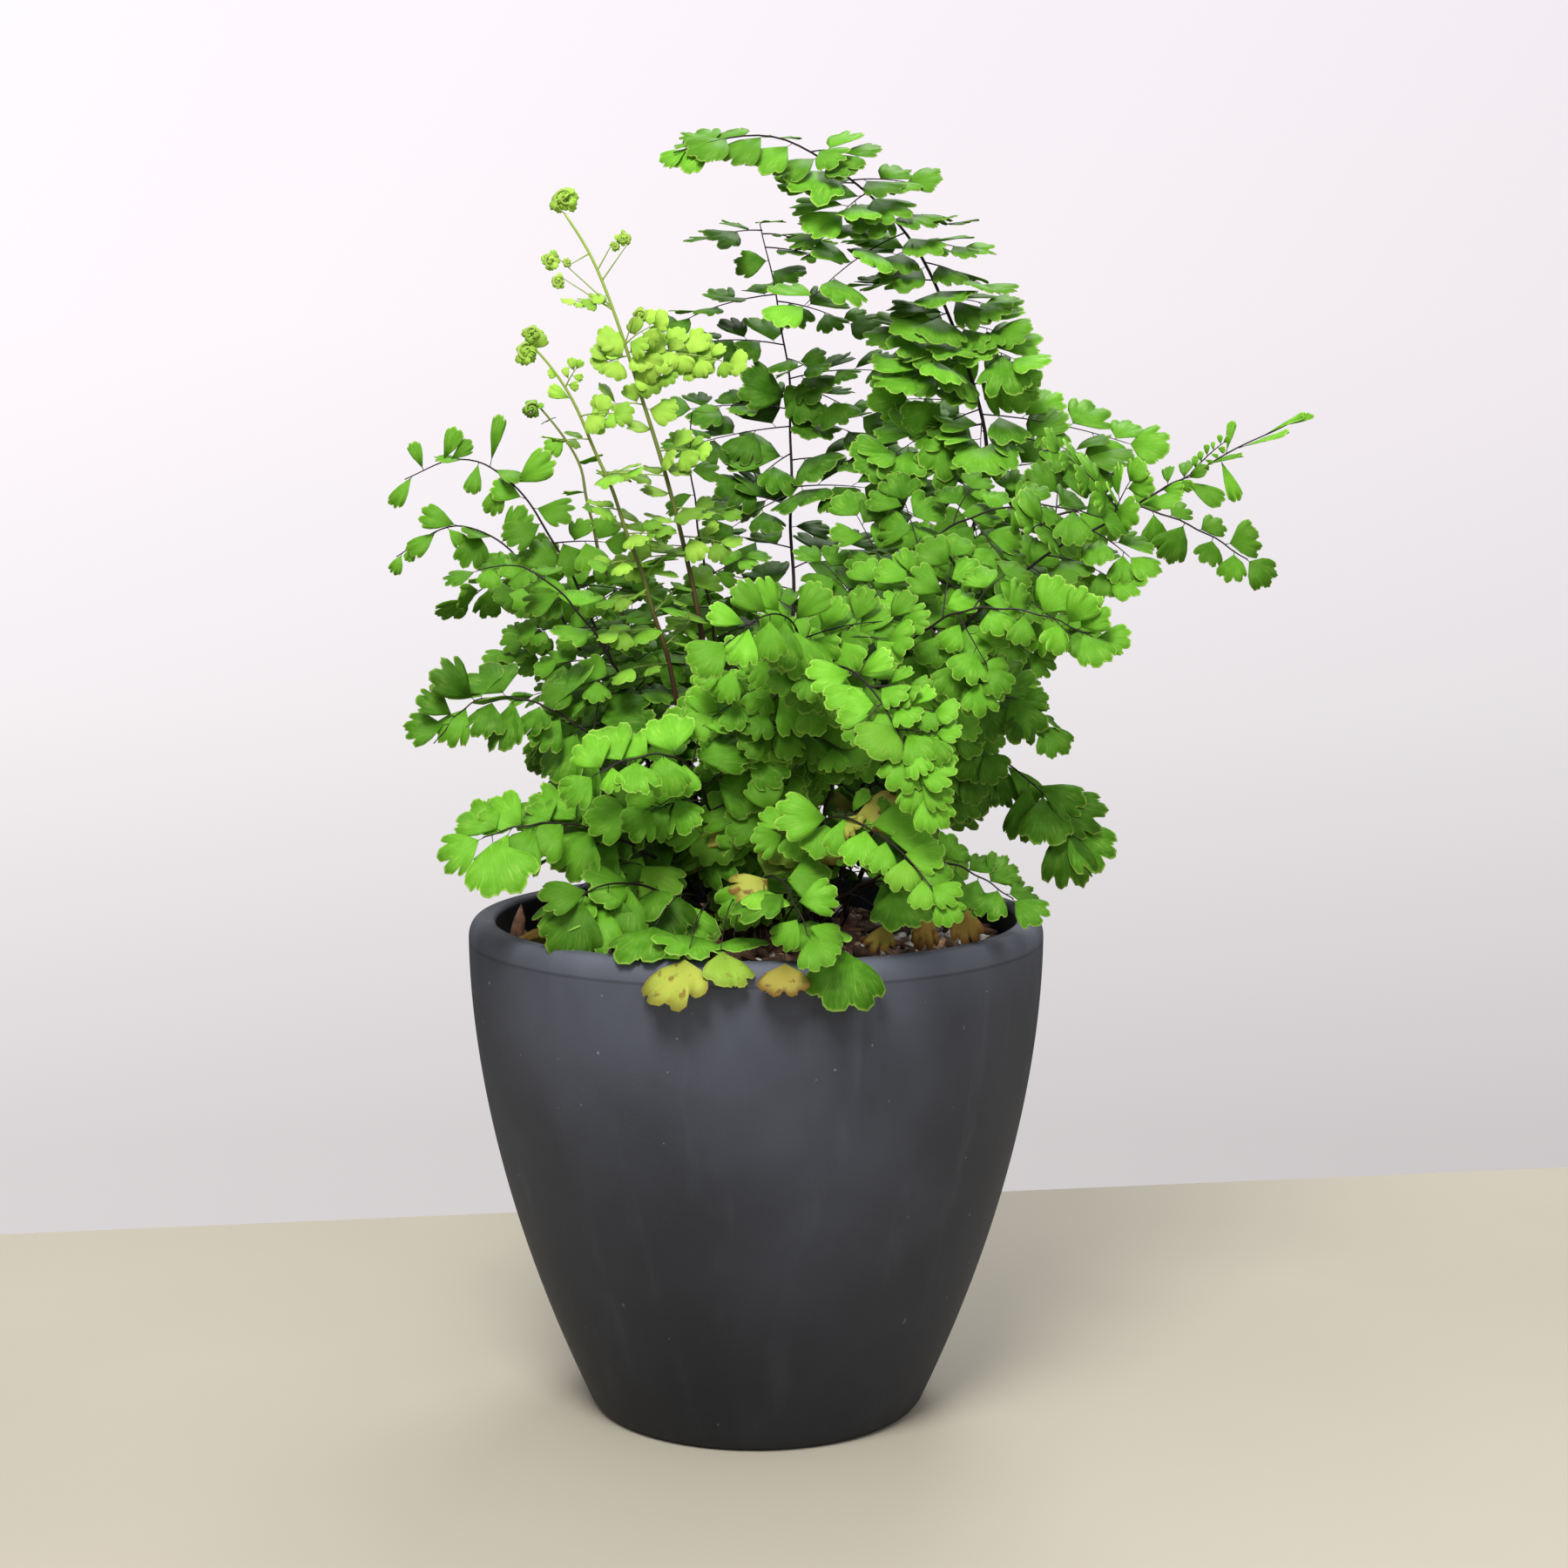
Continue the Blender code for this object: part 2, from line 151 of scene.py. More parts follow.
class Nodes:
    """A material's node tree, with short ways to add and join nodes."""

    def __init__(self, name):
        self.material = bpy.data.materials.new(name)
        self.material.use_nodes = True
        self.tree = self.material.node_tree
        self.tree.nodes.clear()

    def add(self, kind, **inputs):
        """A node of a kind, with inputs given by name, where _ stands for a space."""
        node = self.tree.nodes.new(kind)
        for key, value in inputs.items():
            self.put(node.inputs[key.replace("_", " ")], value)
        return node

    def put(self, socket, value):
        """Sets a socket, or links it where the value is another socket."""
        if isinstance(value, bpy.types.NodeSocket):
            self.tree.links.new(value, socket)
        else:
            socket.default_value = value

    def math(self, operation, a, b=0.0, clamp=False):
        """One sum on two values or sockets, held to 0..1 where it is clamped."""
        node = self.tree.nodes.new("ShaderNodeMath")
        node.operation = operation
        node.use_clamp = clamp
        self.put(node.inputs[0], a)
        self.put(node.inputs[1], b)
        return node.outputs[0]

    def mix(self, share, a, b):
        """Two colours mixed by a share."""
        node = self.tree.nodes.new("ShaderNodeMix")
        node.data_type = "RGBA"
        self.put(node.inputs["Factor"], share)
        self.put(node.inputs[6], a)
        self.put(node.inputs[7], b)
        return node.outputs[2]

    def ramp(self, value, low, high):
        """The value spread from low..high to 0..1, held at the ends, with a smooth step."""
        node = self.tree.nodes.new("ShaderNodeMapRange")
        node.interpolation_type = "SMOOTHSTEP"
        self.put(node.inputs["Value"], value)
        node.inputs["From Min"].default_value = low
        node.inputs["From Max"].default_value = high
        return node.outputs["Result"]

    def scaled(self, colour, amount):
        """A colour made lighter or darker by an amount."""
        node = self.tree.nodes.new("ShaderNodeVectorMath")
        node.operation = "SCALE"
        self.put(node.inputs[0], colour)
        self.put(node.inputs["Scale"], amount)
        return node.outputs[0]

    def noise(self, scale, detail=2.0, vector=None, roughness=0.5):
        """Noise from 0 to 1, at the object's own coordinates unless others are given."""
        node = self.tree.nodes.new("ShaderNodeTexNoise")
        node.inputs["Scale"].default_value = scale
        node.inputs["Detail"].default_value = detail
        node.inputs["Roughness"].default_value = roughness
        self.put(node.inputs["Vector"], vector or self.place())
        return node.outputs["Fac"]

    def place(self):
        """The object's own coordinates."""
        return self.tree.nodes.new("ShaderNodeTexCoord").outputs["Object"]

    def stretched(self, x, y, z):
        """Object coordinates scaled along each axis."""
        node = self.tree.nodes.new("ShaderNodeMapping")
        node.inputs["Scale"].default_value = (x, y, z)
        self.tree.links.new(self.place(), node.inputs["Vector"])
        return node.outputs["Vector"]

    def bump(self, height, strength, distance):
        """The normal that a height gives."""
        node = self.tree.nodes.new("ShaderNodeBump")
        node.inputs["Strength"].default_value = strength
        node.inputs["Distance"].default_value = distance
        self.tree.links.new(height, node.inputs["Height"])
        return node.outputs["Normal"]

    def skin(self, colour, roughness, height=None, bump=(), specular=None):
        """The main shader, with the bump that a height gives and its gloss level."""
        node = self.add("ShaderNodeBsdfPrincipled", Base_Color=colour, Roughness=roughness)
        if height:
            self.put(node.inputs["Normal"], self.bump(height, *bump))
        if specular:
            node.inputs["Specular IOR Level"].default_value = specular
        return node.outputs[0]

    def axes(self, vector):
        """The three parts of a vector."""
        parts = self.tree.nodes.new("ShaderNodeSeparateXYZ")
        self.tree.links.new(vector, parts.inputs[0])
        return tuple(parts.outputs)

    def finish(self, shader):
        """The material, showing a shader."""
        out = self.tree.nodes.new("ShaderNodeOutputMaterial")
        self.tree.links.new(shader, out.inputs["Surface"])
        return self.material


def tint_parts(n):
    """The tint attribute's three parts. On leaves they are youth, painted light with some random tone, and
    age; on earth finishes the second is a tone of their own.
    """
    attribute = n.add("ShaderNodeAttribute")
    attribute.attribute_name = "tint"
    parts = n.tree.nodes.new("ShaderNodeSeparateColor")
    n.tree.links.new(attribute.outputs["Color"], parts.inputs["Color"])
    return parts.outputs[0], parts.outputs[1], parts.outputs[2]


OLD_GREEN = (0.048, 0.172, 0.006, 1)
FULL_GREEN = (0.120, 0.348, 0.018, 1)
YOUNG_GREEN = (0.33, 0.53, 0.065, 1)
PALE_EDGE = (0.46, 0.68, 0.13, 1)
YELLOWED = (0.45, 0.46, 0.08, 1)
WITHERED = (0.31, 0.19, 0.045, 1)
BROWNED = (0.20, 0.09, 0.025, 1)
# random mottle, paler and bluer than the leaf, that also stands in for a painted dusty sheen
MOTTLE_AND_SHEEN = (0.18, 0.44, 0.045, 1)
LIT_THROUGH = (0.36, 0.57, 0.03, 1)

VEIN_CELLS = (34, 2.2)  # noise cells across a leaflet and along it
VEIN_SHARE = 0.28
EDGE_BAND = (0.945, 0.99)  # where the pale edge fades in, as a share of the way out
EDGE_SHARE = 0.5
MOTTLE_AND_SHEEN_SHARE = 0.4
PAINTED_LEAF_LIGHT = (1.15, 0.38)  # painted light: the colour is scaled by the first times the leaflet's shade plus the second
THROUGH_SHARE = 0.28  # of the light that a leaflet lets through


def leaf_material(name):
    """Green by youth, with fine veins that fan from the stalk, a paler edge and brown spots on old leaves,
    made lighter or darker by painted light.
    """
    n = Nodes(name)
    youth, shade, age = tint_parts(n)
    uv = n.add("ShaderNodeUVMap")
    uv.uv_map = "across_along"
    across, along, _ = n.axes(uv.outputs["UV"])
    green = n.mix(n.ramp(youth, 0.0, 0.5), OLD_GREEN, FULL_GREEN)
    green = n.mix(n.ramp(youth, 0.45, 1.0), green, YOUNG_GREEN)
    # random mottling that is partly a painted dusty sheen
    mottle_and_sheen_noise = n.noise(220, 3.0)
    green = n.mix(n.math("MULTIPLY", n.ramp(mottle_and_sheen_noise, 0.35, 0.75), MOTTLE_AND_SHEEN_SHARE), green, MOTTLE_AND_SHEEN)
    rays = n.tree.nodes.new("ShaderNodeCombineXYZ")
    for socket, way, cells in zip(rays.inputs, (across, along), VEIN_CELLS):
        n.put(socket, n.math("MULTIPLY", way, cells))
    vein = n.ramp(n.noise(1.0, 3.0, rays.outputs[0], 0.7), 0.5, 0.72)
    green = n.mix(n.math("MULTIPLY", vein, VEIN_SHARE), green, PALE_EDGE)
    green = n.mix(n.math("MULTIPLY", n.ramp(along, *EDGE_BAND), EDGE_SHARE), green, PALE_EDGE)
    green = n.mix(n.ramp(age, 0.25, 0.75), green, YELLOWED)
    green = n.mix(n.ramp(age, 0.7, 1.0), green, WITHERED)
    spots = n.ramp(n.noise(240, 3.0), 0.58, 0.68)
    dry_edge = n.math("MULTIPLY", n.ramp(along, 0.75, 1.0), age)
    brown = n.math("MULTIPLY", n.math("MAXIMUM", spots, dry_edge), n.ramp(age, 0.15, 0.8))
    green = n.mix(brown, green, BROWNED)
    # painted light: each leaflet's colour is scaled by its shade, the light or shadow it was given
    colour = n.scaled(green, n.math("ADD", n.math("MULTIPLY", shade, PAINTED_LEAF_LIGHT[0]), PAINTED_LEAF_LIGHT[1]))
    height = n.math("ADD", n.math("MULTIPLY", vein, 0.6), n.noise(900, 2.0))
    skin = n.skin(colour, 0.55, height, (0.2, 0.15 * MM), 0.11)
    glow = n.add("ShaderNodeBsdfTranslucent", Color=n.mix(0.55, colour, LIT_THROUGH))
    both = n.add("ShaderNodeMixShader", Fac=THROUGH_SHARE)
    n.tree.links.new(skin, both.inputs[1])
    n.tree.links.new(glow.outputs[0], both.inputs[2])
    return n.finish(both.outputs[0])


def stem_material(name, low, high):
    """Wiry stalk: a dark gloss that turns lighter where the tint says the growth is young."""
    n = Nodes(name)
    youth, _, _ = tint_parts(n)
    streak = n.noise(300, 3.0, n.stretched(1, 1, 0.12))
    share = n.math("ADD", youth, n.math("MULTIPLY", n.math("SUBTRACT", streak, 0.5), 0.3), clamp=True)
    return n.finish(n.skin(n.mix(share, low, high), 0.5, streak, (0.2, 0.2 * MM), 0.3))


CHARCOAL = ((0.024, 0.026, 0.034, 1), (0.048, 0.052, 0.068, 1))  # the cloudy patches
POT_STREAK = (0.075, 0.083, 0.105, 1)
POT_SPECK = (0.20, 0.21, 0.23, 1)
INNER_WALL = (0.008, 0.009, 0.014, 1)
RIM_PAINTED_LIGHT = (6.2 * MM, 5.4 * MM)  # below the rim's top, where the painted light on the rim's upward face fades in
CREASE_PAINTED_SHADE = (7.2 * MM, 6.4 * MM, 5.8 * MM)  # and where the painted shade line below the rim's rounded edge starts, is darkest and ends


def pot_material(height):
    """Matte charcoal that painted light darkens towards the foot and lightens towards the rim, with faint
    upright streaks, cloudy patches and pale specks.

    A fine dark line of painted shade runs round below the rim's rounded edge, under a paler painted light on
    the rim's top, and the inner wall is nearly black.
    """
    n = Nodes("charcoal_pot")
    inner, _, _ = tint_parts(n)
    _, _, rise = n.axes(n.place())
    cloud = n.noise(14, 4.0)
    streak = n.noise(60, 4.0, n.stretched(1, 1, 0.06), 0.6)
    fine = n.noise(700, 3.0)
    base = n.mix(n.ramp(cloud, 0.3, 0.75), *CHARCOAL)
    base = n.mix(n.math("MULTIPLY", n.ramp(streak, 0.5, 0.8), 0.5), base, POT_STREAK)
    speck = n.ramp(n.noise(300, 1.0), 0.785, 0.80)
    base = n.mix(n.math("MULTIPLY", speck, 0.55), base, POT_SPECK)
    # painted shade: a fine dark line below the rim's rounded edge
    start, middle, end = (height - below for below in CREASE_PAINTED_SHADE)
    above = n.math("SUBTRACT", 1.0, n.ramp(rise, middle, end))
    crease_shade_line = n.math("MULTIPLY", n.ramp(rise, start, middle), above)
    # painted light: darker at the foot as painted shade, lighter towards the rim as a painted highlight
    share = n.math("POWER", n.math("DIVIDE", rise, height, clamp=True), 1.3)
    light = n.math("ADD", n.math("MULTIPLY", share, 1.22), 0.30)
    # painted light: a paler strip on the rim's upward face
    rim_light_strip = n.ramp(rise, height - RIM_PAINTED_LIGHT[0], height - RIM_PAINTED_LIGHT[1])
    light = n.math("ADD", light, n.math("MULTIPLY", rim_light_strip, 0.35))
    light = n.math("SUBTRACT", light, n.math("MULTIPLY", crease_shade_line, 0.45))
    base = n.mix(inner, n.scaled(base, light), INNER_WALL)
    rough = n.math("ADD", n.math("MULTIPLY", cloud, 0.25), 0.5)
    relief = n.math("ADD", n.math("MULTIPLY", streak, 0.6), n.math("MULTIPLY", fine, 0.5))
    return n.finish(n.skin(base, rough, relief, (0.3, 0.4 * MM), 0.25))


def earth_material(name, dark, light, scale):
    """Crumbly or woody matter: two tones broken up by noise, each crumb tinted on its own."""
    n = Nodes(name)
    _, shade, _ = tint_parts(n)
    grain = n.noise(scale, 5.0, None, 0.65)
    colour = n.mix(n.ramp(grain, 0.3, 0.72), (*dark, 1), (*light, 1))
    colour = n.scaled(colour, n.math("ADD", n.math("MULTIPLY", shade, 1.1), 0.45))
    return n.finish(n.skin(colour, 0.9, grain, (0.6, 0.6 * MM)))


# ---------------------------------------------------------------- stalks

CAD_STEM_SIDES = 4
STEM_SIDES = 8
STEM_RINGS = 72


class Stalk:
    """A smooth line through points, asked for places and directions at shares of its length.

    Between two points it is the cubic that has the points' places and their slopes,
    the slopes being the central differences by length.
    """

    def __init__(self, points):
        steps = np.linalg.norm(np.diff(points, axis=0), axis=1)
        self.reach = np.concatenate([[0], np.cumsum(steps)])
        self.points = points
        self.slopes = np.gradient(points, self.reach, axis=0)
        self.length = self.reach[-1]

    def at(self, share):
        """The places at shares of the length."""
        goal = np.clip(np.asarray(share, float), 0, 1) * self.length
        i = np.clip(np.searchsorted(self.reach, goal, "right") - 1, 0, len(self.reach) - 2)
        h = self.reach[i + 1] - self.reach[i]
        t = ((goal - self.reach[i]) / h)[..., None]
        h = h[..., None]
        return (
            (2 * t**3 - 3 * t**2 + 1) * self.points[i]
            + (t**3 - 2 * t**2 + t) * h * self.slopes[i]
            + (3 * t**2 - 2 * t**3) * self.points[i + 1]
            + (t**3 - t**2) * h * self.slopes[i + 1]
        )

    def direction(self, share):
        """The directions ahead at shares of the length."""
        share = np.asarray(share, float)
        return unit(self.at(share + 0.01) - self.at(share - 0.01))


def cad_stalk(node):
    """The middle line of a CAD stem, walked from its lowest ring of corners to its last."""
    left = node_points(node)
    here = left[np.argmin(left[:, 2])]
    middles = []
    while len(left) >= CAD_STEM_SIDES:
        near = np.argsort(np.linalg.norm(left - here, axis=1))[:CAD_STEM_SIDES]
        here = left[near].mean(0)
        middles.append(here)
        left = np.delete(left, near, axis=0)
    return Stalk(np.array(middles))


def tubes(surface, paths, radii, sides, across, tint):
    """Round tubes along many paths at once, closed by a point at both ends.

    A corner is the path's point plus the radius times the cosine and the sine of its
    angle, along two directions square to the path.
    """
    paths, radii = np.asarray(paths, float), np.asarray(radii)
    count, rings = paths.shape[:2]
    ahead = unit(np.gradient(paths, axis=1))
    first = unit(np.cross(ahead, np.broadcast_to(across[:, None, :], ahead.shape)))
    second = np.cross(ahead, first)
    angle = np.arange(sides) * math.tau / sides
    ring = first[:, :, None] * np.cos(angle)[:, None] + second[:, :, None] * np.sin(angle)[:, None]
    body = paths[:, :, None] + ring * radii[:, :, None, None]
    ends = paths[:, [0, -1]] + ahead[:, [0, -1]] * radii[:, [0, -1], None] * [[[-1], [1]]]
    points = np.concatenate([body.reshape(count, -1, 3), ends], axis=1)
    surface.add_copies(points, *ring_faces(rings, sides), tint)


# ---------------------------------------------------------------- leaflets

LOBES = 4
LOBE_STEPS = np.array([0.0, 0.07, 0.19, 0.34, 0.5, 0.66, 0.81, 0.93])  # where a lobe's edge has points
LOBE_RISE = np.array([0.0, 0.90, 0.972, 0.972, 1.01, 0.975, 0.970, 0.90])  # 0 is the foot of a slit
INNER_ROW = 0.5
INNER_STEP = 4  # outline stretches for each stretch of the inner row
LEAF_THICKNESS = 0.22 * MM
SLIT_REACH = 0.11  # how far a slit's rounding reaches into a lobe
PLAIN_WIDTH = 48  # a leaflet narrower than this has a plainer edge


def fan_outline(youth, side, width, rng):
    """Angles (-1 to 1) and radii (0 to 1) of many fan outlines.

    The radius is a scalloped 1. It falls with the cube of the angle towards the straight
    sides, more on the side away from the branch's tip, and drops at a slit between lobes.
    A narrow leaflet has a plainer edge.
    """
    count = len(youth)
    plain = np.clip(width / PLAIN_WIDTH, 0.25, 1)[:, None]
    lobe = np.repeat(np.arange(LOBES), len(LOBE_STEPS))
    within = np.tile(LOBE_STEPS, LOBES)
    shift = rng.uniform(-0.2, 0.2, (count, LOBES + 1))
    shift[:, [0, -1]] = 0
    bounds = np.arange(LOBES + 1) + shift
    angle = (bounds[:, lobe] + (bounds[:, lobe + 1] - bounds[:, lobe]) * within) / LOBES * 2 - 1
    angle = np.concatenate([angle, np.ones((count, 1))], axis=1)
    depth = rng.uniform(0.14, 0.42, (count, LOBES + 1)) * (1 - 0.7 * youth[:, None])
    slight = rng.uniform(0.05, 0.13, (count, LOBES + 1))
    depth = np.where(rng.random((count, LOBES + 1)) < 0.5, depth, slight)
    depth = depth * plain
    depth[:, [0, -1]] = 0.08
    flatness = (1 - 0.35 * youth[:, None]) * plain
    scallop = 1 - (1 - np.tile(LOBE_RISE, LOBES)) * flatness
    before, after = depth[:, lobe], depth[:, lobe + 1]
    shoulder = before * np.exp(-within / SLIT_REACH) + after * np.exp(-(1 - within) / SLIT_REACH)
    radius = np.where(within == 0, 1 - before, scallop - 0.75 * shoulder)
    radius = np.concatenate([radius, 1 - depth[:, -1:]], axis=1)
    fall = 0.22 + 0.08 * youth[:, None] - 0.13 * angle * side[:, None]
    tooth = 1 + rng.uniform(-0.018, 0.018, angle.shape) * plain
    return angle, radius * tooth * (1 - fall * np.abs(angle) ** 3 - 0.26 * np.abs(angle) ** 8)


def fan_faces(columns):
    """Faces of one leaflet: a fan to the inner row, then that row joined to the finer outline."""
    inner = np.arange((columns - 1) // INNER_STEP)
    outer = 1 + len(inner) + 1
    a, b = 1 + inner, 2 + inner
    p = outer + inner[:, None] * INNER_STEP + np.arange(INNER_STEP + 1)
    tris = np.concatenate([
        np.stack([np.zeros_like(a), b, a], -1),
        np.stack([a, p[:, 1], p[:, 0]], -1),
        np.stack([a, p[:, 2], p[:, 1]], -1),
        np.stack([b, p[:, 4], p[:, 3]], -1),
    ])
    quads = np.stack([a, b, p[:, 3], p[:, 2]], -1)
    return quads, tris


def leaflets(surface, buds, tint, rng):
    """Many fan-shaped leaflets at once.

    A point lies at its angle from the leaflet's axis and its share of the outline's
    radius. It is lifted by a trough or ridge across the axis, a bend along it, a ripple
    along the edge and a tilt of its own for each lobe.
    """
    count = len(buds.size)
    angle, radius = fan_outline(tint[:, 0], buds.side, buds.width, rng)
    columns = angle.shape[1]
    turn = (angle + rng.uniform(-0.1, 0.1, (count, 1))) * np.radians(buds.width)[:, None]
    ring = slice(0, columns, INNER_STEP)
    turns = np.concatenate([turn[:, ring], turn], axis=1)
    angles = np.concatenate([angle[:, ring], angle], axis=1)
    inner = np.full((count, (columns - 1) // INNER_STEP + 1), INNER_ROW)
    reach = np.concatenate([inner * (1 - 0.2 * angle[:, ring] ** 2), radius], axis=1)
    across, ahead = reach * np.sin(turns), reach * np.cos(turns)
    curl = buds.curl[:, None]
    trough = (rng.uniform(-0.16, 0.10, (count, 1)) - 0.5 * curl) * across**2
    bend = (rng.uniform(-0.15, 0.05, (count, 1)) - 0.7 * curl) * ahead**2
    ripple = 0.03 * reach**2 * np.sin(angles * 8 + rng.uniform(0, math.tau, (count, 1)))
    tilts = rng.normal(0, 0.05, (count, LOBES + 1))
    lobe = np.minimum(((angles + 1) / 2 * LOBES + 1e-6).astype(int), LOBES - 1)
    tilt = np.take_along_axis(tilts, lobe, 1) * np.maximum(reach - INNER_ROW, 0)
    normal = unit(buds.normal)
    along = unit(buds.along - normal * (buds.along * normal).sum(-1, keepdims=True))
    axes = np.stack([np.cross(along, normal), along, normal], 1)
    local = np.stack([across, ahead, trough + bend + ripple + tilt], -1) * buds.size[:, None, None]
    spots = buds.base[:, None] + np.einsum("nvk,nkc->nvc", local, axes)
    points = np.concatenate([buds.base[:, None], spots], axis=1)
    quads, tris = fan_faces(columns)
    u = np.concatenate([np.full((count, 1), 0.5), angles / 2 + 0.5], axis=1)
    v = np.concatenate([np.zeros((count, 1)), inner, np.ones((count, columns))], axis=1)
    surface.add_copies(points, quads, tris, tint, np.stack([u, v], -1))


# ---------------------------------------------------------------- fronds

# A frond's longest leaflet and longest side branch in mm, its nodes, the share of the stem where
# they begin, the way its leaflets face (turned from the front, raised, and tipped out to each
# side), its youth, its shade (painted light: lower for fronds at the back or in shadow, higher for
# lit ones), its share of ageing leaflets and whether its tip is curled.
Habit = namedtuple(
    "Habit", "leaf pinna nodes first facing up roll youth shade age curled", defaults=(0.0, False)
)
HABITS = {
    "tall_arching": Habit(17, 30, 8, 0.30, 5, 55, 14, 0.36, 0.6),
    "tall_back": Habit(16, 26, 9, 0.34, 0, 60, 8, 0.05, 0.4),
    "tall_unfurling": Habit(10, 16, 3, 0.42, 0, 60, 12, 1.0, 0.7),
    "small_unfurling": Habit(9, 18, 8, 0.44, -10, 68, 12, 0.85, 0.5, 0.0, True),
    "upper_left": Habit(11, 22, 9, 0.34, -15, 52, 10, 0.45, 0.5),
    "outer_left": Habit(11, 22, 9, 0.34, -10, 52, 10, 0.42, 0.5),
    "middle_left": Habit(14, 26, 13, 0.32, -15, 60, 12, 0.36, 0.55),
    "dark_left": Habit(18, 30, 20, 0.30, -20, 45, 14, 0.10, 0.5),
    "lower_left": Habit(20, 18, 13, 0.36, -20, 36, 8, 0.34, 0.7),
    "rim_left": Habit(19, 14, 5, 0.38, -25, 38, 8, 0.34, 0.6),
    "rim_front": Habit(16, 14, 9, 0.34, 0, 38, 10, 0.4, 0.6, 0.25),
    "fan_front": Habit(14, 24, 5, 0.34, 0, 30, 8, 0.42, 0.6),
    "cascade": Habit(14, 22, 5, 0.36, 8, 30, 10, 0.46, 0.6),
    "lower_cascade": Habit(14, 18, 4, 0.36, 10, 36, 10, 0.5, 0.6, 0.22),
    "long_right": Habit(12.5, 28, 10, 0.32, 15, 46, 12, 0.38, 0.5),
    "drooping_right": Habit(14.5, 26, 22, 0.36, 15, 26, 12, 0.33, 0.5),
    "middle_right": Habit(13.5, 36, 20, 0.34, 12, 34, 12, 0.34, 0.7),
    "upper_right": Habit(14, 36, 19, 0.36, 10, 40, 12, 0.24, 0.55),
    "dark_right": Habit(15, 29, 15, 0.34, 15, 28, 14, 0.08, 0.42),
    "low_right": Habit(18, 20, 6, 0.30, 22, 30, 14, 0.08, 0.4),
    "rim_right": Habit(16, 20, 13, 0.32, 20, 40, 12, 0.12, 0.5, 0.06),
    "inner_left": Habit(16, 25, 14, 0.36, -10, 32, 8, 0.36, 0.88),
    "inner_upper": Habit(12, 24, 12, 0.34, 0, 68, 12, 0.42, 0.55),
    "inner_unfurling": Habit(10, 18, 10, 0.40, -10, 72, 12, 0.55, 0.5, 0.0, True),
    "back_left": Habit(19, 38, 17, 0.34, -150, 46, 14, 0.22, 0.5),
    "back_right": Habit(19, 38, 17, 0.34, 145, 46, 14, 0.25, 0.5),
    "back_middle": Habit(19, 36, 17, 0.34, 180, 44, 14, 0.3, 0.5),
    "back_low": Habit(21, 27, 12, 0.34, 165, 42, 12, 0.2, 0.5),
}
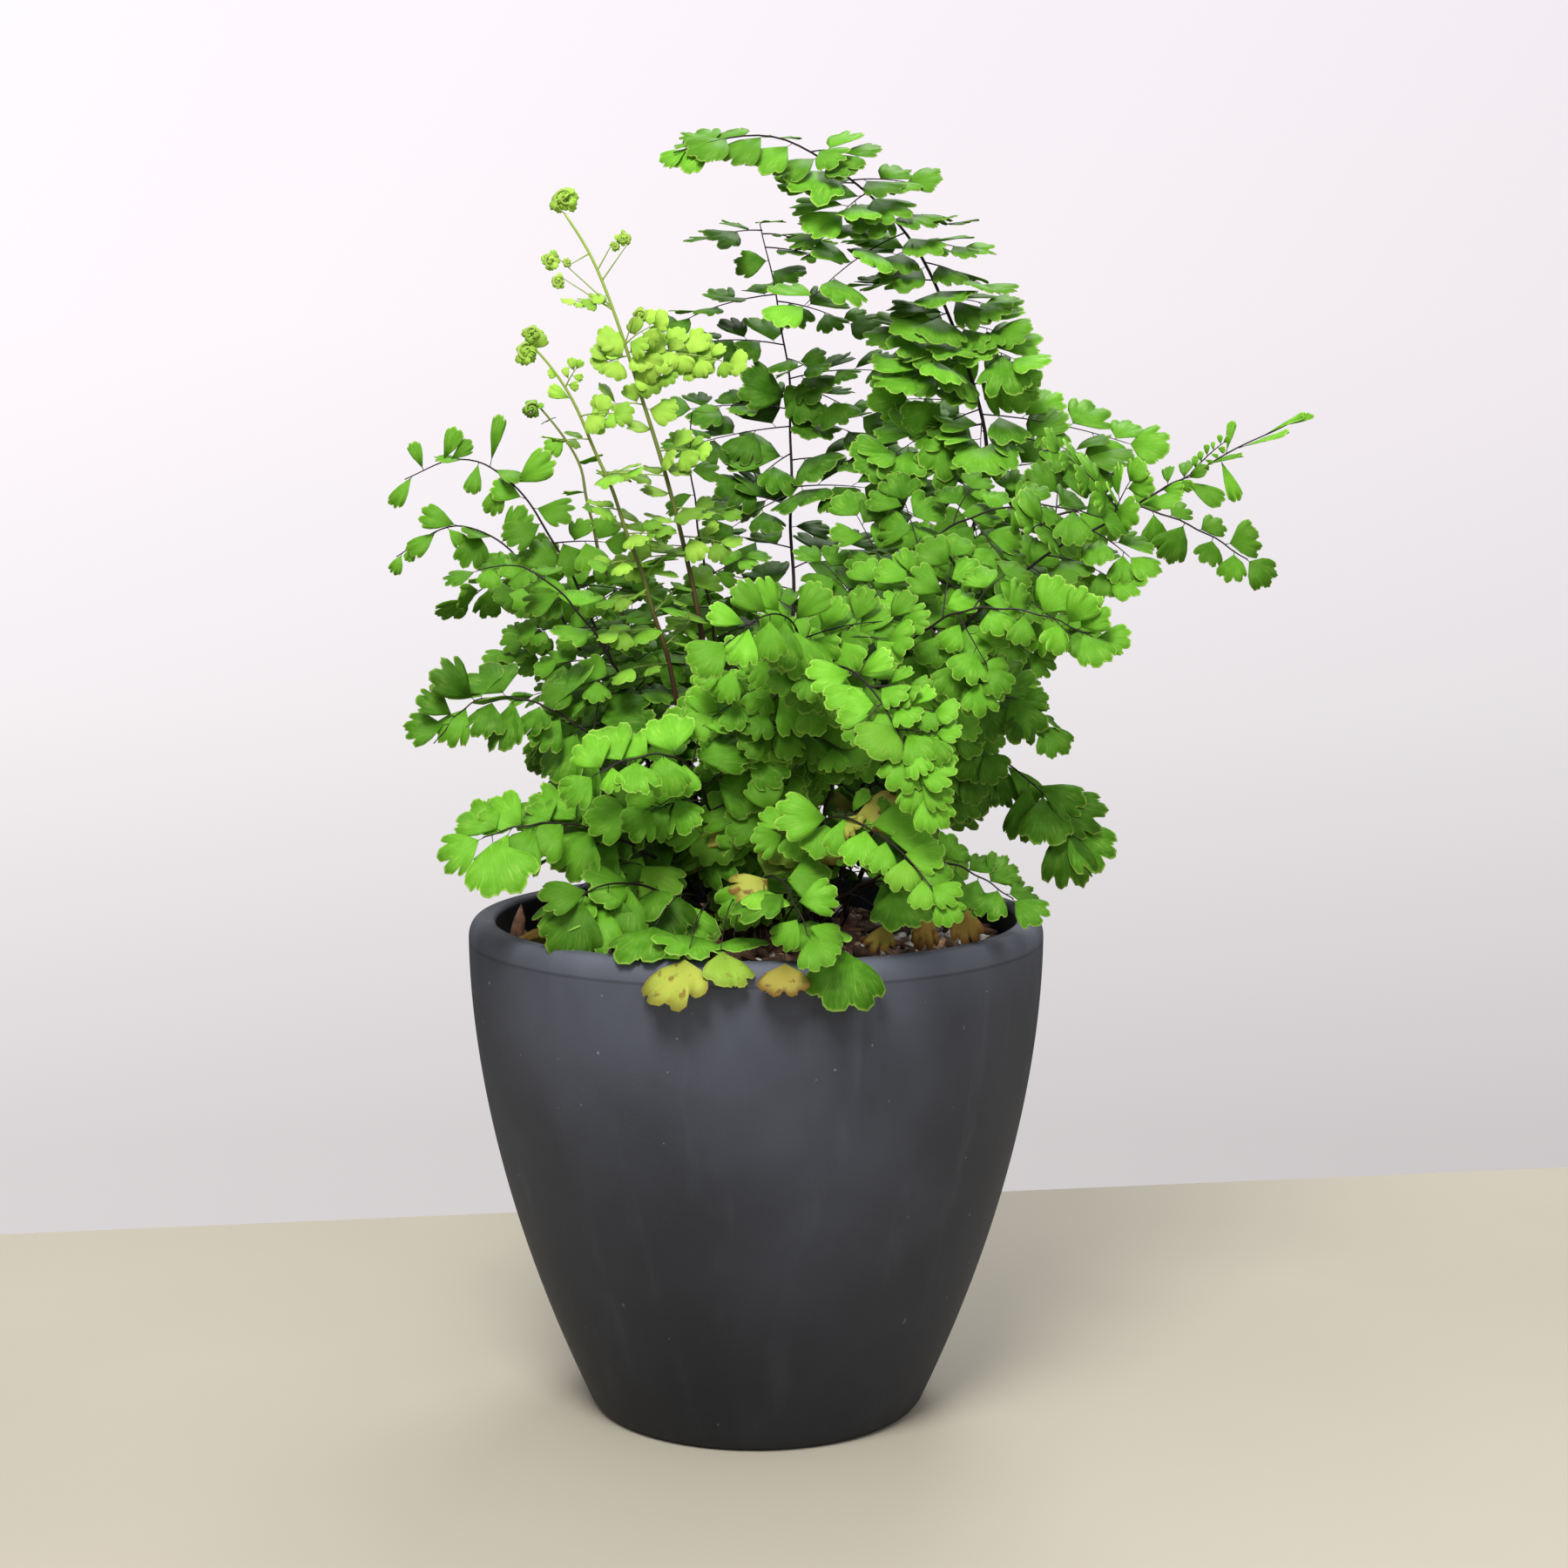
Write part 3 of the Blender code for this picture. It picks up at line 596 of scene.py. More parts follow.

# Side sprays and single leaflets set one by one, on the fronds that stand out alone. From the
# lowest of them upwards a frond has no others. Each has the share of the stem that it leaves, the
# way it points (turned from the front, raised), its length and its leaflets' in mm (a single
# leaflet has no length), how far its face is raised, its shade (painted light, lighter where lit
# and darker where shaded), and half the angle of its leaflets.
Spray = namedtuple("Spray", "share turn rise length leaf up shade width", defaults=(48,))
SPRAYS = {
    "tall_arching": (
        (0.5, -70, 5, 30, 18, 40, 0.5), (0.52, 60, 0, 32, 18, 45, 0.45), (0.535, -10, -35, 12, 18, 42, 0.85),
        (0.54, 80, -4, 46, 18, 48, 0.7), (0.545, -60, -14, 28, 18, 42, 0.75),
        (0.55, -82, 14, 20, 18, 18, 0.75), (0.57, 78, 14, 12, 14, 26, 0.5),
        (0.61, -45, -12, 21, 18, 52, 0.9), (0.615, 55, -14, 20, 18, 45, 0.9),
        (0.625, -85, 0, 14, 18, 60, 0.5), (0.63, 70, 6, 14, 17, 48, 0.6), (0.66, 85, -3, 14, 16, 60, 0.4),
        (0.5, -20, -24, 0, 18, 48, 0.55), (0.53, -70, -6, 12, 17, 50, 0.5),
        (0.565, -30, -18, 0, 18, 48, 0.5), (0.595, -60, -8, 10, 17, 50, 0.5),
        (0.62, -10, -24, 0, 17, 46, 0.6), (0.645, -50, -10, 8, 17, 52, 0.55),
        (0.67, 10, -24, 0, 17, 50, 0.45), (0.695, -40, -16, 0, 18, 52, 0.5),
        (0.715, -70, -6, 8, 16, 56, 0.45), (0.73, 20, -20, 0, 16, 52, 0.4),
        (0.765, -20, -20, 0, 16, 52, 0.5), (0.68, -96, 4, 16, 15, 76, 0.3), (0.7, 86, -9, 18, 15, 74, 0.3),
        (0.725, 92, -2, 16, 15, 70, 0.4), (0.735, -52, -14, 40, 20, 58, 0.95),
        (0.755, -82, 0, 22, 17, 68, 0.45), (0.76, 90, 4, 18, 14, 80, 0.3), (0.785, 30, -28, 0, 16, 52, 0.35),
        (0.79, -50, -22, 9, 20, 54, 1.0), (0.805, -85, 4, 12, 15, 60, 0.4), (0.81, 88, 6, 16, 16, 58, 0.45),
        (0.83, -36, -26, 0, 19, 50, 0.95), (0.84, 30, -12, 0, 14, 48, 0.35),
        (0.85, -70, -22, 0, 14, 58, 0.35), (0.86, 84, 8, 10, 14, 56, 0.55), (0.88, -48, -30, 0, 16, 48, 0.5),
        (0.895, 172, 10, 0, 12, 70, 0.5), (0.91, -52, -26, 0, 15, 50, 0.6),
        (0.925, -140, 14, 0, 13, 60, 0.6), (0.945, -52, -24, 0, 14, 50, 0.7),
        (0.955, -140, 16, 0, 13, 58, 0.7), (0.96, -60, -30, 0, 13, 46, 0.8), (0.97, -125, 10, 0, 9, 58, 0.8),
        (0.985, -78, -30, 0, 9, 44, 0.95, 34),
    ),
    "tall_back": (
        (0.6, -50, -10, 24, 17, 40, 0.5), (0.61, 60, 4, 28, 17, 48, 0.4), (0.65, 80, 10, 20, 16, 64, 0.4),
        (0.66, -50, -15, 14, 19, 36, 0.7), (0.69, 62, 62, 0, 15, 12, 0.3), (0.7, -80, -6, 28, 16, 46, 0.3),
        (0.715, 80, -4, 22, 16, 60, 0.35), (0.725, -90, 10, 30, 14, 52, 0.4),
        (0.74, -60, 22, 0, 17, 24, 0.3), (0.76, 60, -6, 24, 15, 56, 0.4), (0.77, 80, 14, 32, 15, 62, 0.4),
        (0.8, 40, -10, 10, 13, 60, 0.3), (0.82, -88, 12, 38, 13, 60, 0.35), (0.885, 75, -7, 26, 15, 56, 0.4),
        (0.895, -90, 0, 34, 14, 68, 0.4), (0.93, 60, -12, 0, 12, 56, 0.35), (0.945, -90, -4, 0, 11, 40, 0.4),
        (0.965, 86, 2, 16, 13, 74, 0.4), (0.985, 88, 0, 14, 13, 82, 0.4), (0.99, -86, 3, 14, 15, 76, 0.45),
        (1.0, 20, 8, 0, 11, 80, 0.4),
    ),
    "tall_unfurling": (
        (0.54, 70, 6, 12, 9, 50, 0.5), (0.56, -66, 10, 14, 10, 70, 0.35), (0.58, 76, 8, 14, 9, 66, 0.4),
        (0.6, -70, 4, 0, 9, 70, 0.4), (0.625, -76, 6, 14, 9, 72, 0.35), (0.64, 60, -6, 0, 10, 60, 0.4),
        (0.66, 66, 14, 12, 8, 34, 0.6), (0.69, -75, 10, 0, 8, 66, 0.5), (0.72, 60, -8, 0, 10, 24, 0.6),
        (0.725, -78, 18, 10, 8, 30, 0.6), (0.77, 80, 8, 18, 8, 30, 0.6, 56),
        (0.775, 66, -30, 0, 8, 24, 0.7, 58), (0.79, 74, 18, 30, 8, 26, 0.75, 58),
        (0.795, -60, -14, 6, 7.5, 26, 0.75, 58), (0.8, 84, 2, 22, 8.5, 22, 0.8, 58),
        (0.81, 60, 34, 12, 8, 24, 0.8, 58), (0.815, -70, 6, 0, 8, 24, 0.8, 58),
        (0.83, -60, -50, 0, 8, 22, 0.75, 58), (0.865, -80, 12, 10, 6, 66, 0.7),
        (0.88, -70, -20, 0, 5, 50, 0.7),
    ),
    "small_unfurling": (
        (0.66, 70, 14, 8, 8, 60, 0.5), (0.7, -76, 12, 6, 7, 70, 0.5), (0.76, 70, 20, 6, 8, 62, 0.5),
        (0.82, -80, 10, 8, 7, 76, 0.4), (0.84, 60, 20, 0, 7, 20, 0.8, 60),
        (0.86, 76, 16, 10, 7.5, 20, 0.7, 60), (0.89, -70, 24, 0, 7, 10, 0.75, 34),
        (0.91, 60, 64, 7, 4.5, 20, 0.7, 34), (0.93, -60, 20, 0, 3.5, 30, 0.7, 56),
        (0.985, 40, 70, 0, 5, 0, 0.7, 60),
    ),
    "fan_front": (
        (0.45, -70, -34, 12, 12, 30, 0.55), (0.47, 60, -26, 0, 14, 32, 0.45),
        (0.5, 40, -44, 0, 13, 30, 0.58), (0.52, -62, -28, 18, 12, 28, 0.7), (0.55, 40, -30, 0, 14, 26, 0.7),
        (0.58, -40, -46, 10, 14, 22, 0.78), (0.6, -76, -22, 26, 12.5, 24, 0.78),
        (0.63, 60, -20, 8, 12, 28, 0.6), (0.66, -80, -10, 22, 12, 26, 0.7),
        (0.68, 62, 16, 28, 12.5, 28, 0.58), (0.7, 66, 28, 30, 12.5, 30, 0.58),
        (0.72, -60, 26, 0, 13, 30, 0.58), (0.73, 70, -56, 0, 14, 22, 0.58, 40),
        (0.765, 30, -66, 0, 14.5, 22, 0.55, 40), (0.77, 60, 50, 0, 13, 28, 0.58, 42),
        (0.81, -20, -76, 0, 14.5, 20, 0.6, 34), (0.82, -66, 48, 0, 11.5, 30, 0.6, 38),
        (0.865, -20, -78, 0, 12, 22, 0.6, 36), (0.87, -74, 44, 0, 12.5, 28, 0.55, 36),
        (0.925, -40, -66, 0, 12, 24, 0.7, 46), (0.93, -80, 22, 0, 11, 28, 0.6, 36),
        (0.98, -66, -34, 0, 12.5, 26, 0.7, 50),
    ),
    "cascade": (
        (0.44, 66, -16, 14, 12, 34, 0.4), (0.48, -60, -20, 12, 12, 32, 0.4),
        (0.53, 40, -40, 0, 13, 30, 0.45, 54), (0.57, 62, -10, 16, 12, 34, 0.45),
        (0.6, -50, -40, 0, 13, 28, 0.5, 54), (0.64, -66, -8, 8, 12.5, 32, 0.6),
        (0.67, 50, -10, 14, 11.5, 38, 0.55), (0.72, -70, -8, 0, 13, 32, 0.6, 50),
        (0.74, 62, 30, 0, 11, 38, 0.55, 34), (0.77, -62, -32, 0, 12.5, 32, 0.65, 52),
        (0.78, 74, 14, 10, 9.5, 42, 0.6), (0.82, -56, -38, 6, 11, 30, 0.6), (0.835, 72, 10, 12, 10, 40, 0.6),
        (0.87, -50, -36, 0, 12.5, 28, 0.62, 58), (0.88, 70, 4, 10, 10.5, 38, 0.6),
        (0.915, 70, -4, 7, 10, 38, 0.62), (0.93, -40, -58, 0, 11, 26, 0.6, 52),
        (0.955, 66, -14, 0, 11, 36, 0.62), (0.97, -30, -70, 0, 10, 28, 0.62, 44),
        (0.985, 66, -30, 0, 10, 32, 0.66, 46), (1.0, 40, -58, 0, 10.5, 28, 0.66, 58),
    ),
    "lower_cascade": (
        (0.42, -62, -26, 0, 13, 32, 0.5, 52), (0.47, 50, -40, 0, 12, 30, 0.45),
        (0.5, -76, -10, 10, 12.5, 32, 0.6), (0.55, -10, -50, 0, 12, 30, 0.55, 52),
        (0.58, -74, 4, 0, 15, 30, 0.65, 44), (0.62, 60, 24, 8, 10, 36, 0.5),
        (0.64, -10, -58, 0, 11.5, 30, 0.6, 52), (0.67, 78, 14, 0, 14.5, 38, 0.6, 40),
        (0.72, 80, 6, 0, 15, 40, 0.65, 40), (0.73, -30, -54, 0, 12, 28, 0.65, 52),
        (0.79, 80, 2, 0, 13, 40, 0.7, 42), (0.8, -20, -56, 0, 10.5, 28, 0.7, 48),
        (0.86, 82, -4, 0, 11.5, 38, 0.66, 44), (0.87, -10, -62, 0, 10, 28, 0.66, 46),
        (0.92, 78, -14, 0, 10, 36, 0.66, 44), (0.94, 0, -62, 0, 9.5, 28, 0.7, 46),
        (0.97, 70, -26, 0, 9, 32, 0.7, 46), (1.0, 50, -50, 0, 9, 30, 0.7, 52),
    ),
    "upper_left": (
        (0.6, 80, -4, 20, 12, 42, 0.4), (0.63, -70, -10, 18, 12, 40, 0.45), (0.68, 80, 8, 18, 12, 40, 0.4),
        (0.72, -75, -30, 0, 13, 30, 0.45), (0.75, 65, -5, 0, 13, 38, 0.3), (0.77, -80, 20, 0, 10, 30, 0.4),
        (0.8, 80, 32, 0, 15, 24, 0.7, 34), (0.82, -50, -64, 0, 12, 30, 0.5, 32),
        (0.84, 70, -20, 0, 9, 72, 0.4), (0.89, -80, 6, 0, 9, 74, 0.5, 36),
        (0.85, 50, 72, 0, 15, 10, 0.65, 15), (0.87, -40, -66, 0, 10, 30, 0.5, 28),
        (0.92, 62, 32, 0, 9, 25, 0.5, 26), (0.93, 66, 64, 0, 11, 20, 0.6, 22),
        (0.965, -40, 62, 0, 9, 20, 0.6, 26), (0.985, -80, -58, 0, 11, 28, 0.6, 24),
    ),
    "outer_left": (
        (0.6, -80, -14, 18, 12, 42, 0.45), (0.63, 80, 18, 18, 12, 40, 0.4), (0.67, -60, -38, 0, 13, 35, 0.4),
        (0.7, 60, 50, 0, 14, 30, 0.45), (0.75, -70, -30, 0, 12, 35, 0.45),
        (0.78, 75, 44, 0, 14, 25, 0.5, 34), (0.83, -30, -72, 0, 13, 12, 0.75, 46),
        (0.87, -86, 18, 0, 12, 26, 0.6, 30), (0.8, -76, 10, 0, 10, 70, 0.45, 40),
        (0.89, 60, -40, 0, 8, 30, 0.55, 30), (0.91, -76, -36, 0, 11, 30, 0.6, 34),
        (0.955, -70, -60, 0, 6, 30, 0.6, 30), (0.985, -78, -62, 0, 7, 30, 0.6, 28),
    ),
    "long_right": (
        (0.55, 60, -18, 22, 14, 44, 0.5), (0.58, -60, 20, 22, 14, 50, 0.5), (0.62, 70, -10, 20, 14, 50, 0.5),
        (0.65, -50, 40, 16, 13, 50, 0.5), (0.69, 70, -24, 12, 14, 46, 0.6), (0.72, 40, 60, 14, 11, 55, 0.5),
        (0.735, -60, 52, 28, 11, 62, 0.6), (0.76, 66, 4, 0, 13, 50, 0.5, 34),
        (0.79, 76, 48, 12, 8, 50, 0.5, 30), (0.83, 62, -26, 0, 13, 26, 0.5, 28),
        (0.845, 40, 48, 15, 3.5, 30, 0.7, 30), (0.87, 82, 22, 0, 10, 72, 0.6, 14),
        (0.89, 60, -64, 0, 13, 24, 0.6, 15), (0.9, 40, 78, 0, 9, 10, 0.4, 14),
        (0.92, 80, 18, 0, 14, 68, 0.7, 15), (0.96, 82, 30, 0, 12, 70, 0.7, 13),
        (0.985, 80, 24, 0, 9, 66, 0.7, 16),
    ),
    "middle_right": (
        (0.93, 50, 54, 0, 12, 30, 0.6), (0.95, 62, 36, 0, 11, 30, 0.6), (0.955, 40, -44, 0, 12, 28, 0.6),
        (0.98, 74, 0, 0, 10, 32, 0.65, 56),
    ),
    "dark_left": (
        (0.86, -60, 44, 0, 15, 36, 0.4), (0.88, -66, -56, 0, 13, 32, 0.45), (0.92, -70, 34, 0, 12, 36, 0.4),
        (0.94, -80, -10, 0, 12, 40, 0.45, 52),
    ),
    "low_right": (
        (0.54, 20, -70, 0, 18, 20, 0.35), (0.6, -20, -76, 0, 18, 20, 0.4),
        (0.5, 76, 0, 10, 14, 30, 0.58, 34), (0.56, -40, -30, 12, 15, 34, 0.5),
        (0.6, 30, -66, 0, 14, 22, 0.5, 24), (0.66, 75, -62, 0, 15, 28, 0.5, 22),
        (0.69, 82, -44, 0, 15, 30, 0.58, 26), (0.78, -30, -74, 0, 18, 22, 0.5, 26),
        (0.79, 74, -26, 0, 16, 36, 0.58, 38), (0.83, 10, -56, 0, 17, 16, 0.58, 46),
        (0.86, 84, -20, 0, 17, 34, 0.5, 42), (0.91, 30, -66, 0, 20, 24, 0.5, 48),
        (0.93, 80, -42, 0, 18, 30, 0.5, 44),
    ),
    "rim_left": (
        (0.5, 30, -48, 0, 18, 34, 0.5), (0.56, -60, 5, 0, 16, 44, 0.45), (0.62, -10, -56, 0, 18, 34, 0.5),
        (0.72, 0, -74, 0, 20, 22, 0.55, 46), (0.8, -66, -2, 0, 14, 44, 0.45),
        (0.84, -40, -62, 0, 18, 28, 0.5, 44),
    ),
}

# Rolled tips: the share of the stem they leave, the way their stalk points (turned from the
# front, raised), its length and the roll's size in mm.
COILS = {
    "tall_unfurling": (
        (1.0, -90, 40, 3, 8.2), (0.90, 85, 54, 14, 4.6), (0.915, 86, 60, 9, 2.8),
        (0.865, -86, 42, 22, 5.4), (0.86, -84, 32, 18, 4.2), (0.94, -84, -30, 7, 2.6),
        (0.81, 60, 68, 10, 4.8),
    ),
    "small_unfurling": (
        (1.0, -84, 10, 0, 7.0), (0.985, 60, 70, 4, 5.6),
    ),
    "inner_unfurling": (
        (1.0, -70, 60, 0, 5.6),
    ),
}

BRANCH_LEAN = 0.5  # how far a side branch points along the stem
BRANCH_BEND = 0.10  # how far it bends ahead, back and down, against its length
BRANCH_POINTS = 8
SPLIT_BELOW = 0.45  # the share of a split branch that carries branches of its own
COIL_POINTS = 26
COIL_TURNS = 1.5
COIL_LEAVES = 34
COIL_REACH = 0.42  # the coil's outer radius, against its size
COIL_LOSS = 0.36  # and how much of it is lost to the middle
LEAF_SPACING = 0.42  # along a side branch, against the leaflet's length
LEAF_STALK = (0.05, 0.16)  # shortest and longest, against the leaflet's length
SIDE_WIDTH = 50.0  # half the angle of a leaflet at a branch's side, in degrees
TIP_WIDTH = 56.0  # and of one at its tip
WIDTH_SPREAD = (0.82, 1.2)
TIP_GAP = 0.015  # the share of the stem between its last node and its end
BRANCH_RADII = (0.27, 0.14)  # in mm, at the foot and at the tip
COIL_RADII = (0.5, 0.25)
STALK_RADII = (0.16, 0.13, 0.1)
STEM_SWAY = 0.3 * MM
STEM_RADIUS = 0.5 * MM  # of a stem of no length
STEM_GAIN = 0.0016  # radius for each unit of length
DOWN = np.array([0, 0, -1.0])

Buds = namedtuple("Buds", "foot base along normal size side width curl")


class Growth:
    """What a frond's parts gather before they are built: leaflets, side branches and coils.

    Shares of the stem: by_hand is where the first spray set one by one leaves it, or 0, end is where
    the stem stops, and rise is where it is growing now.
    """

    def __init__(self, rng, shade=0.5, by_hand=0, end=1.0):
        self.rng, self.shade, self.by_hand, self.end = rng, shade, by_hand, end
        self.rise = 1.0
        self.buds, self.branches, self.coils, self.shades, self.rises = [], [], [], [], []

    def leaflet(self, foot, along, normal, size, side=0.0, width=SIDE_WIDTH, curl=0.0):
        """A leaflet on its own short stalk that leaves the foot."""
        width = width * self.rng.uniform(*WIDTH_SPREAD)
        base = foot + unit(along) * size * self.rng.uniform(*LEAF_STALK)
        self.buds.append((foot, base, along, normal, size, side, width, curl))
        self.shades.append(self.shade)
        self.rises.append(self.rise)

    def gathered(self):
        """The leaflets as one array for each of their values."""
        return Buds(*(np.array(column) for column in zip(*self.buds)))


def jitter(rng, amount):
    """A small random step."""
    return rng.normal(0, amount, 3)


def grow_branch(growth, root, out, ahead, normal, length, leaf, split=False, width=SIDE_WIDTH):
    """A side branch that droops a little and carries leaflets in turn on both sides.

    It leaves between the ways out and ahead, then bends with the square of its share. A branch
    that splits starts with short branches of its own in place of leaflets.
    """
    rng = growth.rng
    start = unit(out + ahead * BRANCH_LEAN + jitter(rng, 0.06))
    share = np.linspace(0, 1, BRANCH_POINTS)[:, None]
    bend = (ahead - normal + DOWN) * BRANCH_BEND + jitter(rng, 0.05)
    path = root + start * length * share + bend * length * share**2
    line = Stalk(path)
    growth.branches.append(path)
    count = max(int(round(length / (leaf * LEAF_SPACING))), 3)
    for k in range(count):
        at = (k + 0.7) / (count + 0.2)
        side = 1 if k % 2 else -1
        heading = line.direction(at)
        across = unit(np.cross(normal, heading)) * side
        size = leaf * (1 - 0.2 * at) * rng.uniform(0.74, 1.14)
        if split and at < SPLIT_BELOW:
            own = length * (0.62 - at * 0.5)
            grow_branch(growth, line.at(at), across, heading, normal, own, size * 0.86)
            continue
        tilt = unit(normal + across * rng.normal(0.06, 0.1) + jitter(rng, 0.14))
        along = unit(across + heading * 0.6 + jitter(rng, 0.17))
        growth.leaflet(line.at(at), along, tilt, size, side, width)
    tip = leaf * 0.78 * rng.uniform(0.9, 1.1)
    growth.leaflet(path[-1], line.direction(0.99), unit(normal + jitter(rng, 0.1)), tip, 0, width * 1.15)


def branch_length(habit, rise):
    """Side branches are longest a fifth of the way up the leafy stretch and shrink to the tip."""
    swell = 0.75 + 0.25 * min(rise / 0.2, 1)
    return habit.pinna * swell * (1 - rise) ** (1.1 if habit.curled else 0.8)


def grow_coil(growth, root, ahead, facing, size):
    """A tip still rolled up: a spiral whose radius shrinks as it winds, set with small folded leaflets."""
    rng = growth.rng
    share = np.linspace(0, 1, COIL_POINTS)
    turn = share * math.tau * COIL_TURNS
    inward = unit(np.cross(ahead, facing)) * rng.choice([-1, 1])
    radius = size * (COIL_REACH - COIL_LOSS * share)
    centre = root + inward * size * COIL_REACH
    path = centre + radius[:, None] * (ahead * np.sin(turn)[:, None] - inward * np.cos(turn)[:, None])
    path = path + facing * (share * size * 0.2)[:, None]
    growth.coils.append(path)
    for k in range(COIL_LEAVES):
        at = int(k / (COIL_LEAVES - 1) * (COIL_POINTS - 1))
        lift = facing * size * rng.uniform(-0.35, 0.35)
        out = unit((path[at] - centre) * 1.4 + lift + jitter(rng, size * 0.12))
        normal = unit(facing + out * rng.uniform(-0.5, 0.9) + jitter(rng, 0.25))
        foot, leaf = path[at] - out * size * 0.14, size * rng.uniform(0.22, 0.34)
        growth.leaflet(foot, out, normal, leaf, width=62.0, curl=0.9)


def side_normal(heading, facing, roll, side):
    """The facing tipped outwards, about the stem, on the given side. Returns it and the way out."""
    across = unit(np.cross(heading, facing)) * side
    normal = unit(facing * math.cos(roll) + across * math.sin(roll))
    return normal, unit(across - normal * (across * normal).sum())


def grow_nodes(growth, habit, stalk, facing):
    """Branches or single leaflets leave the stem in turn on both sides, closer towards the tip.

    Where sprays are set one by one, they stop below those, at even steps.
    """
    rng = growth.rng
    steps = np.arange(habit.nodes) / (habit.nodes - 0.4)
    shares = habit.first + (growth.end - TIP_GAP - habit.first) * (1 - (1 - steps) ** 1.25)
    if growth.by_hand:
        shares = habit.first + (growth.by_hand - habit.first) * steps
    for k, share in enumerate(shares):
        rise = (share - habit.first) / (1 - habit.first)
        growth.rise = share
        heading, root = stalk.direction(share), stalk.at(share)
        side = 1 if k % 2 else -1
        normal, out = side_normal(heading, facing, math.radians(habit.roll), side)
        leaf = habit.leaf * (1 - 0.22 * rise) * MM
        length = branch_length(habit, rise) * MM * rng.uniform(0.85, 1.1)
        if length > leaf * 1.2:
            tilted = unit(normal + jitter(rng, 0.09))
            grow_branch(growth, root, out, heading, tilted, length, leaf, length > leaf * 2.4)
        else:
            along = unit(out + heading * 0.55 + jitter(rng, 0.24))
            size = leaf * rng.uniform(0.62, 1.2)
            growth.leaflet(root, along, unit(normal + jitter(rng, 0.22)), size, side)
    if not habit.curled and not growth.by_hand:
        size = habit.leaf * 0.7 * MM
        ahead = stalk.direction(growth.end)
        growth.leaflet(stalk.at(growth.end), ahead, unit(facing + jitter(rng, 0.1)), size, 0, TIP_WIDTH)


def grow_sprays(growth, stalk, rows):
    """The sprays and leaflets that are set one by one, each facing the front and up."""
    for spray in (Spray(*row) for row in rows):
        growth.shade, growth.rise = spray.shade, spray.share
        root, out = stalk.at(spray.share), compass(spray.turn, spray.rise)
        face = compass(0, spray.up)
        normal = unit(face - out * (face @ out))
        length, leaf = spray.length * MM, spray.leaf * MM
        if length:
            grow_branch(growth, root, out, out * 0, normal, length, leaf, width=spray.width)
        else:
            growth.leaflet(root, out, unit(normal + jitter(growth.rng, 0.06)), leaf, 0, spray.width)


def grow_coils(growth, stalk, rows, facing):
    """The rolled tips, on thin stalks of their own or on the stem's end."""
    for share, turn, rise, length, size in rows:
        growth.rise = 1.0
        root, out = stalk.at(share), compass(turn, rise)
        tip = root + out * length * MM
        if length:
            growth.branches.append(root + (tip - root) * np.linspace(0, 1, BRANCH_POINTS)[:, None])
        grow_coil(growth, tip, out, facing, size * MM)


def tint_rows(count, youth=0.0, shade=0.5, age=0.0):
    """Rows of the tint attribute. Each part is one value for all or one for each row."""
    return np.stack([np.broadcast_to(part, count) for part in (youth, shade, age, 1.0)], -1)


def leaf_tints(youth, shade, age, count, rng):
    """Youth and painted light (shade) spread a little around the given ones, the spread being random tone,
    with a share of ageing leaflets.
    """
    young = np.clip(youth + rng.normal(0, 0.08, count), 0, 1)
    light = np.clip(np.asarray(shade) + rng.normal(0, 0.16, count), 0, 1)
    old = np.clip((rng.random(count) < age) * rng.uniform(0.2, 1.0, count), 0, 1)
    return tint_rows(count, young, light, old)


def build_wires(wires, growth, buds, facing, youth):
    """Side branches, coils and the hair-thin stalks of the leaflets."""
    kinds = ((growth.branches, BRANCH_RADII, youth), (growth.coils, COIL_RADII, 1.0))
    for paths, ends, tone in kinds:
        if paths:
            count, rings = len(paths), len(paths[0])
            radii = np.tile(np.linspace(*ends, rings) * MM, (count, 1))
            tubes(wires, paths, radii, 5, np.broadcast_to(facing, (count, 3)), tint_rows(count, tone))
    count = len(buds.size)
    inside = buds.base + unit(buds.along) * buds.size[:, None] * 0.06
    small = np.stack([buds.foot, (buds.foot + buds.base) / 2, inside], 1)
    radii = np.tile(np.array(STALK_RADII) * MM, (count, 1))
    tubes(wires, small, radii, 4, unit(buds.normal), tint_rows(count, youth))


def is_young(habit):
    """Fronds still unfurling, which have the young finishes and thicker stems."""
    return habit.curled or habit.youth > 0.7


def build_stem(wires, stalk, habit, facing, end):
    """The main stem, which sways slightly from node to node and turns green towards a young tip."""
    reach = np.linspace(0, end, STEM_RINGS)
    sway = np.sin(reach * habit.nodes * math.pi / (1 - habit.first)) * STEM_SWAY
    path = stalk.at(reach) + unit(np.cross(stalk.direction(reach), facing)) * sway[:, None]
    young = is_young(habit)
    thick, fall = (1.3, 0.66) if young else (1.0, 0.78)
    radius = (STEM_RADIUS + stalk.length * STEM_GAIN) * thick * (1 - fall * reach**1.1)
    tint = tint_rows(STEM_RINGS, habit.youth * np.clip((reach - 0.45) / 0.5, 0, 1) * young)
    tint = np.concatenate([np.repeat(tint, STEM_SIDES, axis=0), tint[[0, -1]]])
    tubes(wires, path[None], radius[None], STEM_SIDES, facing[None], tint[None])


